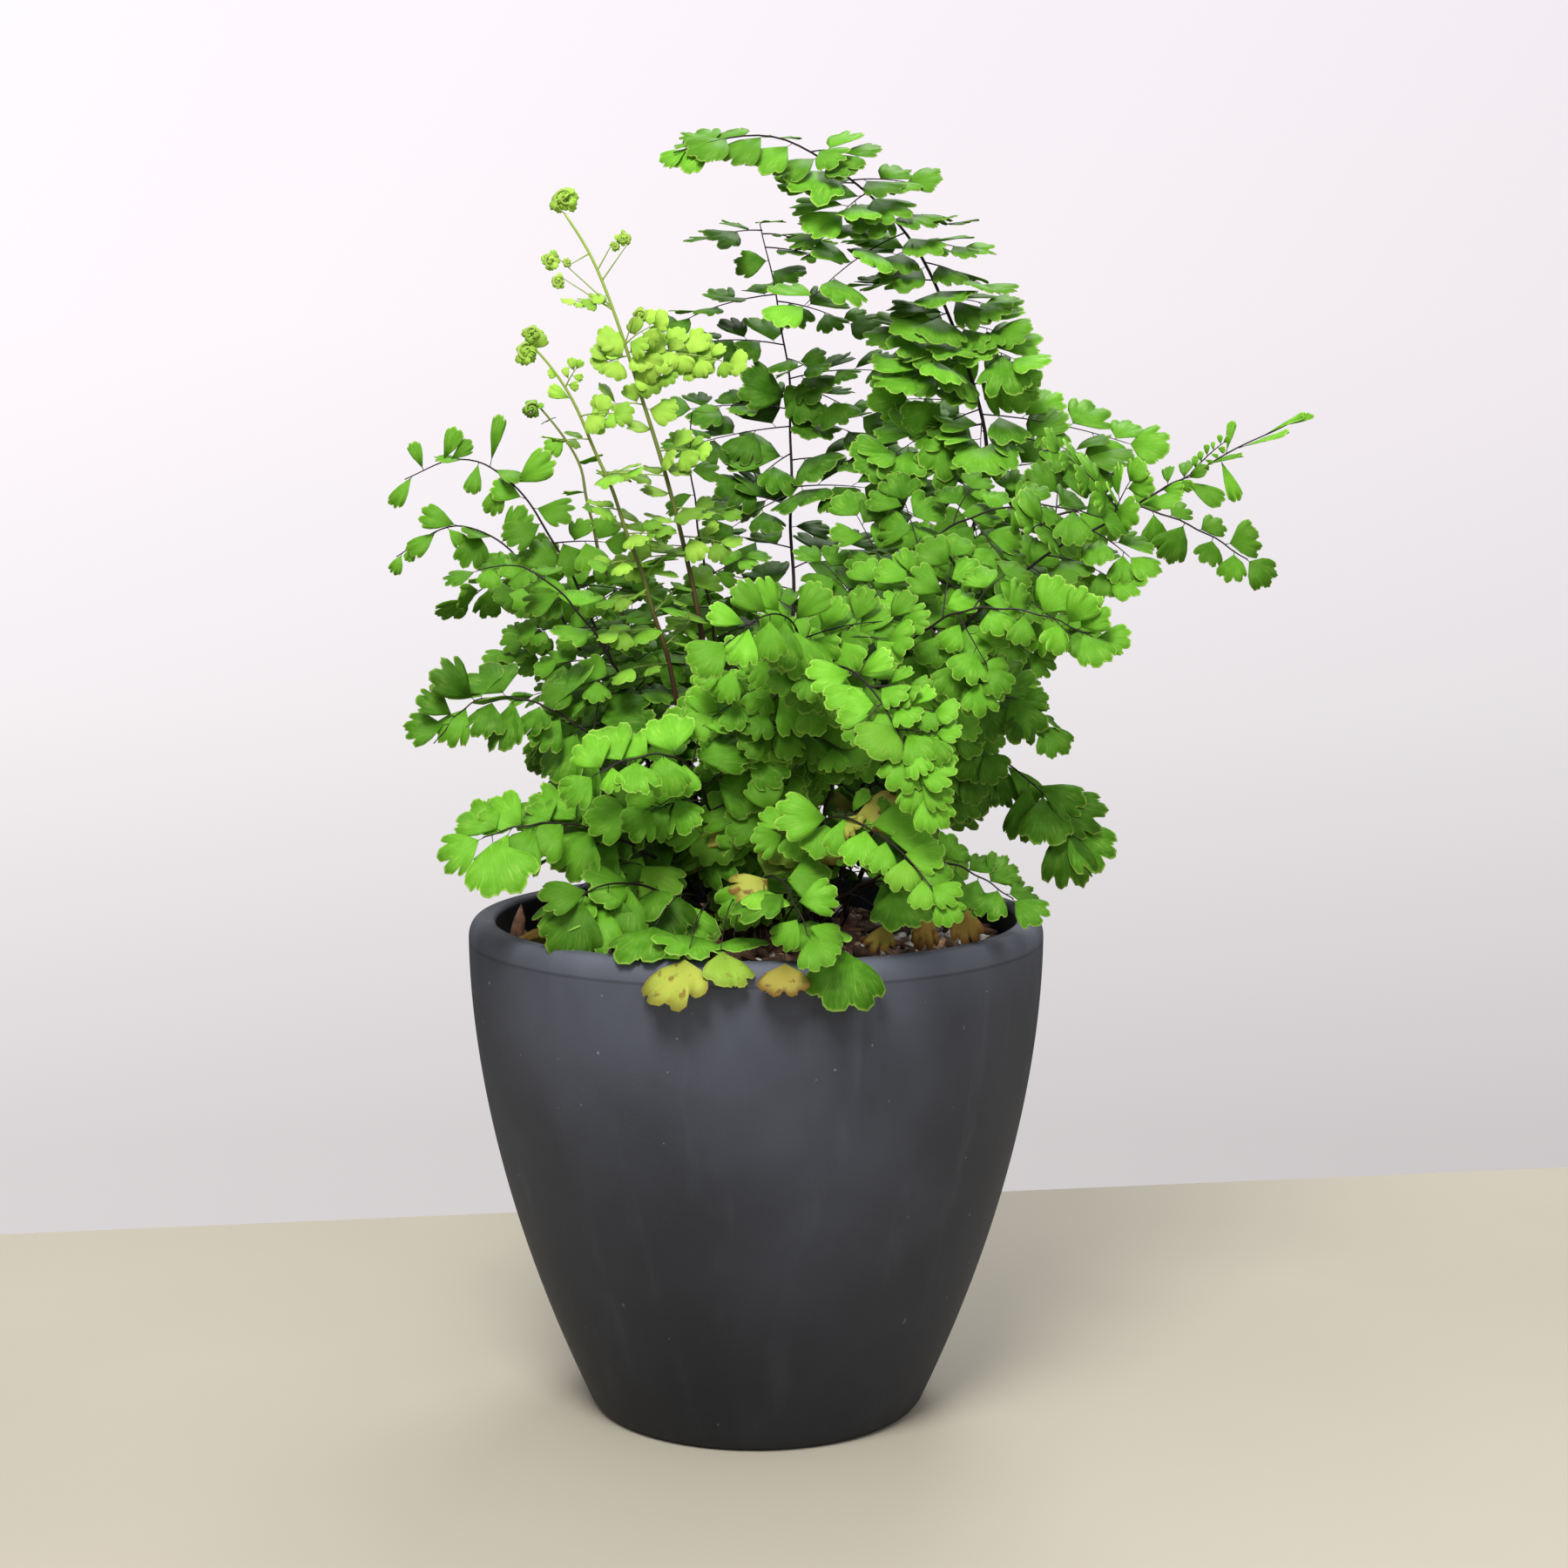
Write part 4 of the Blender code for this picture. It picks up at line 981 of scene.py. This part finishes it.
def build_frond(name, number, finishes):
    """One frond: its leaflets as one piece, and its stem, side branches and stalks as another."""
    habit, sprays = HABITS[name], SPRAYS.get(name, ())
    rng = np.random.default_rng(100 + number)
    stalk = cad_stalk(name + "_stem")
    facing = compass(habit.facing, habit.up)
    by_hand = min((row[0] for row in sprays), default=0)
    whole = by_hand or habit.curled
    growth = Growth(rng, habit.shade, by_hand, 1.0 if whole else 1 - habit.leaf * 0.5 * MM / stalk.length)
    grow_nodes(growth, habit, stalk, facing)
    grow_sprays(growth, stalk, sprays)
    grow_coils(growth, stalk, COILS.get(name, ()), compass(0, 10))
    buds = growth.gathered()
    leaf_slot, stem_slot = ("young_leaf", "young_stem") if is_young(habit) else ("leaf", "stem")
    youth = habit.youth * (0.45 + 0.55 * np.array(growth.rises))
    blades = Surface()
    leaflets(blades, buds, leaf_tints(youth, growth.shades, habit.age, len(buds.size), rng), rng)
    blades.build(name + "_blades", finishes[leaf_slot], [name + "_leaves"], LEAF_THICKNESS)
    wires = Surface()
    build_stem(wires, stalk, habit, facing, growth.end)
    build_wires(wires, growth, buds, facing, max(habit.youth - 0.4, 0) * 1.3)
    wires.build(name + "_wires", finishes[stem_slot], [name + "_stem"])


# Single leaves on long stalks from the crown: the middle and the length in mm, the way the tip
# points (turned from the front, raised), youth, shade (painted light), age, and half the angle of its fan.
CrownLeaf = namedtuple("CrownLeaf", "x y z length turn dip youth shade age width", defaults=(TIP_WIDTH,))
CROWN_LEAVES = (
    (-21, -91, 153, 17, -25, -42, 0.5, 0.62, 0.6),
    (-8, -90, 156, 14, 12, -35, 0.5, 0.62, 0.45),
    (9, -93, 153, 13, 0, -42, 0.3, 0.45, 0.85),
    (26, -91, 153, 19, 5, -52, 0.12, 0.5, 0.0),
    (17, -74, 163, 22, 5, -14, 0.35, 0.6, 0.0),
    (3, -80, 174, 13, 0, -12, 0.6, 0.8, 0.25),
    (-31, -78, 161, 17, -20, -22, 0.2, 0.55, 0.0),
    (-18, -80, 160, 17, 0, -14, 0.3, 0.6, 0.0),
    (-4, -78, 160, 13, 15, -12, 0.3, 0.6, 0.0),
    (-56, -55, 167, 17, -30, -34, 0.38, 0.55, 0.15),
    (-46, -61, 163, 18, -8, -44, 0.42, 0.55, 0.15),
    (62, -53, 163, 13, 34, -60, 0.2, 0.85, 0.96, 44.0),
    (50, -59, 162, 13, 0, -72, 0.2, 0.7, 0.98, 24.0),
    (37, -64, 160, 10, -30, -52, 0.2, 0.7, 0.9, 40.0),
    (42, -70, 170, 18, 10, -30, 0.2, 0.5, 0.0),
    (-72, 22, 168, 17, -95, -28, 0.3, 0.5, 0.1),
    (-48, 68, 165, 18, -145, -32, 0.3, 0.5, 0.0),
    (14, 84, 162, 18, 175, -32, 0.35, 0.5, 0.2),
    (52, 66, 165, 17, 140, -30, 0.25, 0.5, 0.0),
    (78, 22, 166, 18, 98, -30, 0.3, 0.5, 0.0),
)
LOW_SPRAYS = 44


def crown_stalk(start, end):
    """A stalk that leaves the crown upright and curves over to the leaf.

    It is the quadratic curve whose middle point is lifted by part of its level reach.
    """
    share = np.linspace(0, 1, BRANCH_POINTS)[:, None]
    rise = max(np.linalg.norm((end - start)[:2]) * 0.45, 4 * MM)
    middle = (start + end) / 2 - DOWN * rise
    return start * (1 - share) ** 2 + middle * 2 * share * (1 - share) + end * share**2


def grow_single_leaf(growth, leaf, crown_top):
    """A leaf whose stalk leaves the crown on the leaf's own side."""
    along = compass(leaf.turn, leaf.dip)
    base = np.array([leaf.x, leaf.y, leaf.z]) * MM - along * leaf.length * 0.5 * MM
    flat = unit(np.array([leaf.x, leaf.y, 0.0]))
    start = flat * min(np.hypot(leaf.x, leaf.y) * 0.35, 26) * MM - DOWN * crown_top
    growth.branches.append(crown_stalk(start, base))
    normal = unit(compass(leaf.turn, leaf.dip + 90) + jitter(growth.rng, 0.08))
    growth.leaflet(base, along, normal, leaf.length * MM, 0, leaf.width)


def grow_low_spray(growth, crown_top):
    """A short frond in the crown: a leaning stalk with a few leaflets. Returns how many."""
    rng = growth.rng
    turn = rng.uniform(0, math.tau)
    out = np.array([math.cos(turn), math.sin(turn), 0])
    start = out * rng.uniform(4, 28) * MM - DOWN * crown_top
    reach, height = rng.uniform(14, 40) * MM, rng.uniform(16, 62) * MM
    end = start + out * reach - DOWN * height
    path = crown_stalk(start, end)
    growth.branches.append(path)
    line = Stalk(path)
    facing = unit(out * 0.7 + np.array([0, -0.25, 0.75]) + jitter(rng, 0.2))
    leaf = rng.uniform(9, 16) * MM
    nodes = rng.integers(5, 9)
    for k in range(nodes):
        share = 0.5 + 0.48 * k / nodes
        heading = line.direction(share)
        side = 1 if k % 2 else -1
        normal, across = side_normal(heading, facing, 0.2, side)
        along = unit(across + heading * 0.6 + jitter(rng, 0.1))
        normal, size = unit(normal + jitter(rng, 0.12)), leaf * rng.uniform(0.8, 1.1)
        growth.leaflet(line.at(share), along, normal, size, side, 48.0)
    growth.leaflet(end, line.direction(0.98), facing, leaf * 0.8, 0, TIP_WIDTH)
    return nodes + 1


def build_crown(finishes):
    """Leaves that rise from the crown between the fronds and hang over the rim."""
    rng = np.random.default_rng(41)
    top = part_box("rhizome")[1].z - 1.5 * MM
    growth = Growth(rng)
    tint = []
    for leaf in (CrownLeaf(*row) for row in CROWN_LEAVES):
        grow_single_leaf(growth, leaf, top)
        tint.append(tint_rows(1, leaf.youth, leaf.shade, leaf.age))
    for _ in range(LOW_SPRAYS):
        count = grow_low_spray(growth, top)
        tint.append(leaf_tints(rng.uniform(0.1, 0.6), 0.5, 0.08, count, rng))
    buds = growth.gathered()
    blades = Surface()
    leaflets(blades, buds, np.concatenate(tint), rng)
    blades.build("crown_blades", finishes["leaf"], thickness=LEAF_THICKNESS)
    wires = Surface()
    build_wires(wires, growth, buds, compass(0, 60), 0.05)
    wires.build("crown_wires", finishes["stem"])


# ---------------------------------------------------------------- pot and fill

POT_STEPS = 320
POT_WALL = 8.5 * MM
POT_FLOOR = 9 * MM
POT_BELLY = 1.85  # the power that rounds the wall
SHOULDER = (3.4 * MM, 5.5 * MM)  # width and height of the rim's rounded outer edge
SMALL_ROUND = 1.6 * MM  # of the rim's inner edge and the foot
DENT_PLACE = np.array([-19.0, -58.0, 20.0]) * MM
DENT_RADIUS = 4.5 * MM
DENT_WIDTH = 1.4 * MM
DENT_DEPTH = 0.35 * MM
DENT_OPEN = 2 * MM  # above the middle, where the ring is left out


def turned_points(profile, steps):
    """A profile of (radius, height) rows turned about Z. Its two ends, on the axis, come last."""
    angle = np.arange(steps) * math.tau / steps
    radius, height = profile[1:-1, 0, None], profile[1:-1, 1, None]
    rings = [radius * np.cos(angle), radius * np.sin(angle), np.broadcast_to(height, (len(radius), steps))]
    poles = [[0, 0, profile[0, 1]], [0, 0, profile[-1, 1]]]
    return np.concatenate([np.stack(rings, -1).reshape(-1, 3), poles])


def pot_profile():
    """The pot's own profile from the inner floor's middle over the rim to the underside's middle.

    The outer radius runs from the foot's to the rim's by one less a power of the height that is
    left, the rim's edges are arcs, and the inner wall follows the outer one. Returned with its
    tint, whose first part is 1 on the inner wall.
    """
    low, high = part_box("pot")
    rim, height = high.x, high.z
    corners = node_points("pot")
    underside = corners[corners[:, 2] < low.z + 0.2 * MM]
    foot = np.hypot(underside[:, 0], underside[:, 1]).max() + 1.5 * MM
    top = height - SHOULDER[1]

    def outer(share):
        return foot + (rim - foot) * (1 - (1 - share) ** POT_BELLY)

    z = np.linspace(0, 1, 112)
    up = np.stack([outer(z), z * top], -1)[1:]
    up[0] = [foot - 0.2 * MM, 0.9 * MM]
    edge = np.linspace(0, math.pi / 2, 14)
    over = np.stack([rim + SHOULDER[0] * (np.cos(edge) - 1), top + SHOULDER[1] * np.sin(edge)], -1)[1:]
    lip = edge[:8] * 2
    lip_r = rim - POT_WALL + SMALL_ROUND * (1 - np.sin(lip))
    inside_top = np.stack([lip_r, height - SMALL_ROUND * (1 - np.cos(lip))], -1)
    inner_z = POT_FLOOR + (height - SMALL_ROUND - POT_FLOOR) * np.linspace(1, 0, 30)
    inner = np.stack([outer(np.minimum(inner_z / top, 1)) - POT_WALL, inner_z], -1)[1:]
    outside = np.concatenate([[[0, 0], [foot - SMALL_ROUND, 0]], up, over])
    profile = np.concatenate([outside, inside_top, inner, [[0, POT_FLOOR]]])
    tint = tint_rows(len(profile), shade=0.0)
    tint[:, 3] = 0
    tint[len(outside) + len(inside_top) - 3:, 0] = 1
    return profile[::-1], tint[::-1]


def dent(points):
    """A small shallow thumbnail mark, low on the front left: a ring-shaped dip that fades out."""
    offset = points - DENT_PLACE
    away = np.hypot(offset[:, 0], offset[:, 2])
    front = points[:, 1] < 0
    arc = np.exp(-(((away - DENT_RADIUS) / DENT_WIDTH) ** 2)) * (offset[:, 2] < DENT_OPEN)
    inward = -unit(points * [1, 1, 0])
    return points + inward * (arc * front * DENT_DEPTH)[:, None]


def build_pot(finish):
    """The planter, turned from its profile and marked by the dent."""
    profile, tint = pot_profile()
    tint = np.concatenate([np.repeat(tint[1:-1], POT_STEPS, axis=0), tint[[0, -1]]])
    quads, tris = ring_faces(len(profile) - 2, POT_STEPS, flip=True)
    surface = Surface()
    surface.add(dent(turned_points(profile, POT_STEPS)), quads, tris, tint=tint)
    surface.build("planter", finish, ["pot"])


CRUMB_ROWS = 4
CRUMB_COLUMNS = 8
CRUMB_POWER = 0.6
CHIP_TILT = 0.45  # spread of a crumb's tip and roll, in radians


def scatter_ring(rng, count, inner, outer):
    """Even random places in a ring."""
    radius = np.sqrt(rng.uniform(inner**2, outer**2, count))
    angle = rng.uniform(0, math.tau, count)
    return np.stack([radius * np.cos(angle), radius * np.sin(angle)], -1)


def crumbs(surface, places, sizes, rng, tint, angular):
    """Many closed lumps at once.

    Each is a globe of rows and columns, squared off by a power of its coordinates and drawn out
    along three sizes. Its radius is roughened at random, and it is turned at random.
    """
    count = len(places)
    lat = np.linspace(-1, 1, CRUMB_ROWS + 2)[1:-1, None] * math.pi / 2 * 0.95
    lon = np.arange(CRUMB_COLUMNS) * math.tau / CRUMB_COLUMNS
    rings = [np.cos(lat) * np.cos(lon), np.cos(lat) * np.sin(lon), np.sin(lat) + 0 * lon]
    ball = np.concatenate([np.stack(rings, -1).reshape(-1, 3), [[0, 0, -1], [0, 0, 1]]])
    rough = 1 + rng.normal(0, angular, (count, len(ball), 1))
    square = np.sign(ball) * np.abs(ball) ** CRUMB_POWER
    shape = square[None] * rough * sizes[:, None, :]
    points = np.einsum("nvk,nkc->nvc", shape, random_turns(rng, count)) + places[:, None]
    surface.add_copies(points, *ring_faces(CRUMB_ROWS, CRUMB_COLUMNS), tint)


def random_turns(rng, count):
    """Random frames of three square directions; flat chips stay nearly level."""
    yaw = rng.uniform(0, math.tau, count)
    tip = rng.normal(0, CHIP_TILT, count)
    roll = rng.normal(0, CHIP_TILT, count)
    x = np.stack([np.cos(yaw) * np.cos(tip), np.sin(yaw) * np.cos(tip), np.sin(tip)], -1)
    up = unit(np.stack([np.sin(roll), np.sin(tip) * 0.3, np.ones(count)], -1))
    y = unit(np.cross(up, x))
    return np.stack([x, y, np.cross(x, y)], 1)


CROWN_FLAT = 36 * MM
CROWN_FALL = 45 * MM
GROUND_RINGS = 36
GROUND_STEPS = 120
RIM_GAP = 2.5 * MM  # between loose bits and the wall

# Loose bits on the mix: how many, half sizes in mm, finish, roughness and lift in mm.
LOOSE_BITS = {
    "bark_chips": (900, (3.2, 2.0, 1.0), "bark", 0.10, 0.0),
    "curled_bark": (90, (7.0, 2.4, 0.8), "red_bark", 0.08, 2.4),
    "pale_grit": (700, (1.25, 1.0, 0.9), "grit", 0.13, 0.6),
    "wood_bits": (260, (2.8, 1.1, 0.7), "wood_bit", 0.10, 0.5),
}


def soil_height(x, y, low, top):
    """Bumpy ground: a crown that falls in a straight line outside its flat top, with soft and small waves."""
    radius = np.hypot(x, y)
    crown = top - (top - low) * np.clip((radius - CROWN_FLAT) / CROWN_FALL, 0, 1)
    soft = np.sin(x * 210 + 1.3) * np.cos(y * 190 + 0.4) * 0.5
    small = np.sin(x * 620 + y * 280) * np.cos(y * 540 - x * 130) * 0.3
    return crown + (soft + small) * 0.9 * MM - 1.0 * MM


def build_ground(finish, level, top):
    """The mix as bumpy ground, with a skirt that narrows to the underside."""
    low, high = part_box("potting_mix")
    reach = high.x
    angle = np.arange(GROUND_STEPS) * math.tau / GROUND_STEPS
    radius = np.linspace(0, 1, GROUND_RINGS + 1)[1:, None] * reach
    x, y = radius * np.cos(angle), radius * np.sin(angle)
    ground = np.stack([x, y, soil_height(x, y, level, top)], -1)
    skirt_r = np.array([reach * 0.995, reach * 0.93, 45 * MM])[:, None]
    skirt_z = np.array([level - 8 * MM, level - 40 * MM, low.z])[:, None]
    skirt = np.stack([skirt_r * np.cos(angle), skirt_r * np.sin(angle), skirt_z + 0 * angle], -1)
    poles = [[0, 0, float(soil_height(0.0, 0.0, level, top))], [0, 0, low.z]]
    points = np.concatenate([ground.reshape(-1, 3), skirt.reshape(-1, 3), poles])
    quads, tris = ring_faces(GROUND_RINGS + len(skirt), GROUND_STEPS, flip=True)
    surface = Surface()
    surface.add(points, quads, tris, tint=tint_rows(len(points), shade=0.4))
    surface.build("ground", finish, ["potting_mix"])


def build_fill(finishes):
    """The mix under loose bark chips, pale grit and light wood bits."""
    _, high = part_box("potting_mix")
    level, top = high.z - 3 * MM, high.z
    build_ground(finishes["mix"], level, top)
    rng = np.random.default_rng(7)
    for name, (count, size, finish, rough, lift) in LOOSE_BITS.items():
        spot = scatter_ring(rng, count, 0.0, high.x - RIM_GAP)
        scale = rng.lognormal(0, 0.35, (count, 1)) * rng.uniform(0.8, 1.2, (count, 3))
        sizes = np.array(size) * MM * np.clip(scale, 0.4, 2.0)
        ground = soil_height(spot[:, 0], spot[:, 1], level, top)
        height = ground + lift * MM + rng.uniform(0, 1.6, count) * MM
        tint = tint_rows(count, shade=rng.uniform(0, 1, count))
        bits = Surface()
        crumbs(bits, np.column_stack([spot, height]), sizes, rng, tint, rough)
        bits.build(name, finishes[finish])


RUNNERS = 90


def build_rhizome(finishes):
    """A low clump of knuckled, scaly runners that the stems rise from."""
    low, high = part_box("rhizome")
    rng = np.random.default_rng(17)
    spot = scatter_ring(rng, RUNNERS, 0.0, high.x - 4 * MM)
    height = low.z + (high.z - low.z) * rng.uniform(0.1, 0.62, RUNNERS)
    tint = tint_rows(RUNNERS, shade=rng.uniform(0.1, 0.8, RUNNERS))
    sizes = rng.uniform(0.7, 1.3, (RUNNERS, 3)) * np.array([5.5, 3.6, 3.0]) * MM
    clump = Surface()
    crumbs(clump, np.column_stack([spot, height]), sizes, rng, tint, 0.07)
    clump.build("runners", finishes["bark"], ["rhizome"])


DRY_COLUMNS = 13
DRY_ROWS = 12
DRY_SIZE = (21 * MM, 12 * MM, 8 * MM)  # along, across and how high the sides roll up
DRY_TURN = math.radians(25)


def build_dry_leaf(finish):
    """The fallen leaf, laid where the frame has it: a sheet rolled up along its sides.

    Its half width is a sine of the way along, its sides follow a circle, and a small wave runs
    over it.
    """
    low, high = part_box("dry_leaf")
    middle = np.array((low + high) / 2)
    u, v = np.meshgrid(np.linspace(-1, 1, DRY_COLUMNS), np.linspace(0, 1, DRY_ROWS))
    half = 0.55 * np.sin(math.pi * (0.12 + 0.76 * v)) ** 0.8
    roll = u * (1.1 + 0.5 * v)
    x = (v - 0.5) * DRY_SIZE[0]
    y = half * np.sin(roll) * DRY_SIZE[1]
    z = half * (1 - np.cos(roll)) * DRY_SIZE[2] + 0.8 * MM * np.sin(v * 9 + u * 2)
    cos, sin = math.cos(DRY_TURN), math.sin(DRY_TURN)
    points = np.stack([x * cos - y * sin, x * sin + y * cos, z], -1).reshape(-1, 3)
    r, s = np.meshgrid(np.arange(DRY_ROWS - 1) * DRY_COLUMNS, np.arange(DRY_COLUMNS - 1), indexing="ij")
    corner = r + s
    quads = np.stack([corner, corner + DRY_COLUMNS, corner + DRY_COLUMNS + 1, corner + 1], -1)[:, :, ::-1]
    uv = np.stack([u / 2 + 0.5, v], -1)
    tint = tint_rows(len(points), youth=0.2, age=1.0)
    surface = Surface()
    surface.add(points + middle - [0, 0, 1.5 * MM], quads, np.empty((0, 3)), uv, tint)
    surface.build("fallen_leaf", finish, ["dry_leaf"], 0.3 * MM)


# ---------------------------------------------------------------- stage

CAMERA_DISTANCE = 0.813
CAMERA_HEIGHT = 0.289
CAMERA_SIDE = 0.0087
CAMERA_PITCH = math.radians(6.45)
LENS_MM = 60.0

TABLE_TURN = math.radians(9)
TABLE_BACK = np.array([0.02, 0.23, 0])  # the middle of the table's far edge
TABLE_TONES = ((0.340, 0.312, 0.250, 1), (0.372, 0.340, 0.274, 1))

# The rise of a direction (-1 to 1) and the colour there. The shown surround darkens towards the bottom as
# painted shade on the backdrop.
SKY_SHOWN = ((-0.24, (0.65, 0.62, 0.625)), (-0.08, (0.85, 0.82, 0.84)), (0.06, (0.95, 0.895, 0.935)),
             (0.18, (0.97, 0.91, 0.965)))
SKY_LIGHT = ((-0.3, (0.08, 0.08, 0.08)), (0.0, (0.26, 0.26, 0.26)), (0.35, (0.50, 0.50, 0.51)),
             (1.0, (1.0, 0.99, 1.0)))
PAINTED_SHADE_RIGHT = -0.25  # painted shade: how the shown surround's strength falls towards +X

# Each light's place, aim, size, power and colour
LIGHTS = {
    "key": ((-0.18, -1.0, 1.4), (0, 0, 0.22), 0.6, 31, (1.0, 0.985, 0.95)),
    "fill": ((0.9, -1.3, 0.9), (0, 0, 0.25), 0.9, 6, (0.97, 0.98, 1.0)),
    "back": ((0.3, 1.1, 1.4), (0, 0, 0.25), 0.8, 12, (1.0, 1.0, 1.0)),
}


def build_stage():
    """A pale table top that ends behind the pot."""
    across = np.array([math.cos(TABLE_TURN), math.sin(TABLE_TURN), 0]) * 4
    near = TABLE_BACK - np.array([-math.sin(TABLE_TURN), math.cos(TABLE_TURN), 0]) * 5
    corners = [near - across, near + across, TABLE_BACK + across, TABLE_BACK - across]
    mesh = bpy.data.meshes.new("table")
    mesh.from_pydata([tuple(corner) for corner in corners], [], [(0, 1, 2, 3)])
    n = Nodes("table_top")
    colour = n.mix(n.ramp(n.noise(3, 3.0), 0.3, 0.7), *TABLE_TONES)
    mesh.materials.append(n.finish(n.skin(colour, 0.7)))
    table = bpy.data.objects.new("table", mesh)
    bpy.context.scene.collection.objects.link(table)


def build_surround():
    """A light lilac surround that the camera sees, darker towards the bottom and the right as painted shade,
    and a dimmer soft light, mostly from above.
    """
    world = bpy.data.worlds.new("surround")
    world.use_nodes = True
    tree = world.node_tree
    tree.nodes.clear()
    coord = tree.nodes.new("ShaderNodeTexCoord")
    parts = tree.nodes.new("ShaderNodeSeparateXYZ")
    tree.links.new(coord.outputs["Generated"], parts.inputs[0])
    fading = tree.nodes.new("ShaderNodeMath")
    fading.operation = "MULTIPLY_ADD"
    fading.inputs[1].default_value = PAINTED_SHADE_RIGHT
    fading.inputs[2].default_value = 1.0
    tree.links.new(parts.outputs[0], fading.inputs[0])
    shown = sky_gradient(tree, parts.outputs[2], SKY_SHOWN, fading.outputs[0])
    light = sky_gradient(tree, parts.outputs[2], SKY_LIGHT)
    seen = tree.nodes.new("ShaderNodeLightPath")
    mix = tree.nodes.new("ShaderNodeMixShader")
    out = tree.nodes.new("ShaderNodeOutputWorld")
    tree.links.new(seen.outputs["Is Camera Ray"], mix.inputs[0])
    tree.links.new(light, mix.inputs[1])
    tree.links.new(shown, mix.inputs[2])
    tree.links.new(mix.outputs[0], out.inputs["Surface"])
    bpy.context.scene.world = world


def sky_gradient(tree, rise, stops, strength=None):
    """A background whose colour changes with how high the direction rises."""
    ramp = tree.nodes.new("ShaderNodeValToRGB")
    spread = tree.nodes.new("ShaderNodeMapRange")
    low, high = stops[0][0], stops[-1][0]
    spread.inputs["From Min"].default_value = low
    spread.inputs["From Max"].default_value = high
    elements = ramp.color_ramp.elements
    elements[0].color = (*stops[0][1], 1)
    elements[1].color = (*stops[-1][1], 1)
    for place, colour in stops[1:-1]:
        elements.new((place - low) / (high - low)).color = (*colour, 1)
    light = tree.nodes.new("ShaderNodeBackground")
    if strength:
        tree.links.new(strength, light.inputs["Strength"])
    tree.links.new(rise, spread.inputs["Value"])
    tree.links.new(spread.outputs["Result"], ramp.inputs["Fac"])
    tree.links.new(ramp.outputs["Color"], light.inputs["Color"])
    return light.outputs[0]


def build_lights():
    """Soft round lights, each turned to its aim."""
    for name, (place, aim, size, power, colour) in LIGHTS.items():
        data = bpy.data.lights.new(name, "AREA")
        data.shape = "DISK"
        data.size = size
        data.energy = power
        data.color = colour
        lamp = bpy.data.objects.new(name, data)
        lamp.location = place
        lamp.rotation_mode = "QUATERNION"
        lamp.rotation_quaternion = (Vector(aim) - Vector(place)).to_track_quat("-Z", "Y")
        bpy.context.scene.collection.objects.link(lamp)


def build_camera():
    """The camera stands in front, looks towards +Y and dips a little."""
    data = bpy.data.cameras.new("camera")
    data.sensor_width = 36.0
    data.lens = LENS_MM
    camera = bpy.data.objects.new("camera", data)
    camera.location = (CAMERA_SIDE, -CAMERA_DISTANCE, CAMERA_HEIGHT)
    camera.rotation_euler = (math.pi / 2 - CAMERA_PITCH, 0, 0)
    bpy.context.scene.collection.objects.link(camera)
    bpy.context.scene.camera = camera


def main():
    """The finishes, the plant and its pot, then the stage, the light and the camera."""
    finishes = {
        "leaf": leaf_material("mature_leaf"),
        "young_leaf": leaf_material("young_leaf"),
        "stem": stem_material("black_stem", (0.010, 0.005, 0.004, 1), (0.06, 0.05, 0.012, 1)),
        "young_stem": stem_material("young_stem", (0.050, 0.020, 0.011, 1), (0.27, 0.40, 0.06, 1)),
        "mix": earth_material("dark_mix", (0.012, 0.008, 0.006), (0.07, 0.04, 0.026), 500),
        "bark": earth_material("bark", (0.03, 0.016, 0.010), (0.16, 0.085, 0.05), 420),
        "red_bark": earth_material("red_bark", (0.05, 0.02, 0.010), (0.24, 0.11, 0.055), 300),
        "grit": earth_material("pale_grit", (0.40, 0.37, 0.33), (0.75, 0.71, 0.66), 700),
        "wood_bit": earth_material("light_wood", (0.20, 0.11, 0.06), (0.45, 0.28, 0.17), 500),
    }
    for number, name in enumerate(HABITS):
        build_frond(name, number, finishes)
    build_crown(finishes)
    build_pot(pot_material(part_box("pot")[1].z))
    build_fill(finishes)
    build_rhizome(finishes)
    build_dry_leaf(finishes["leaf"])
    build_stage()
    build_surround()
    build_lights()
    build_camera()
    bpy.context.scene.view_settings.view_transform = "Standard"


main()
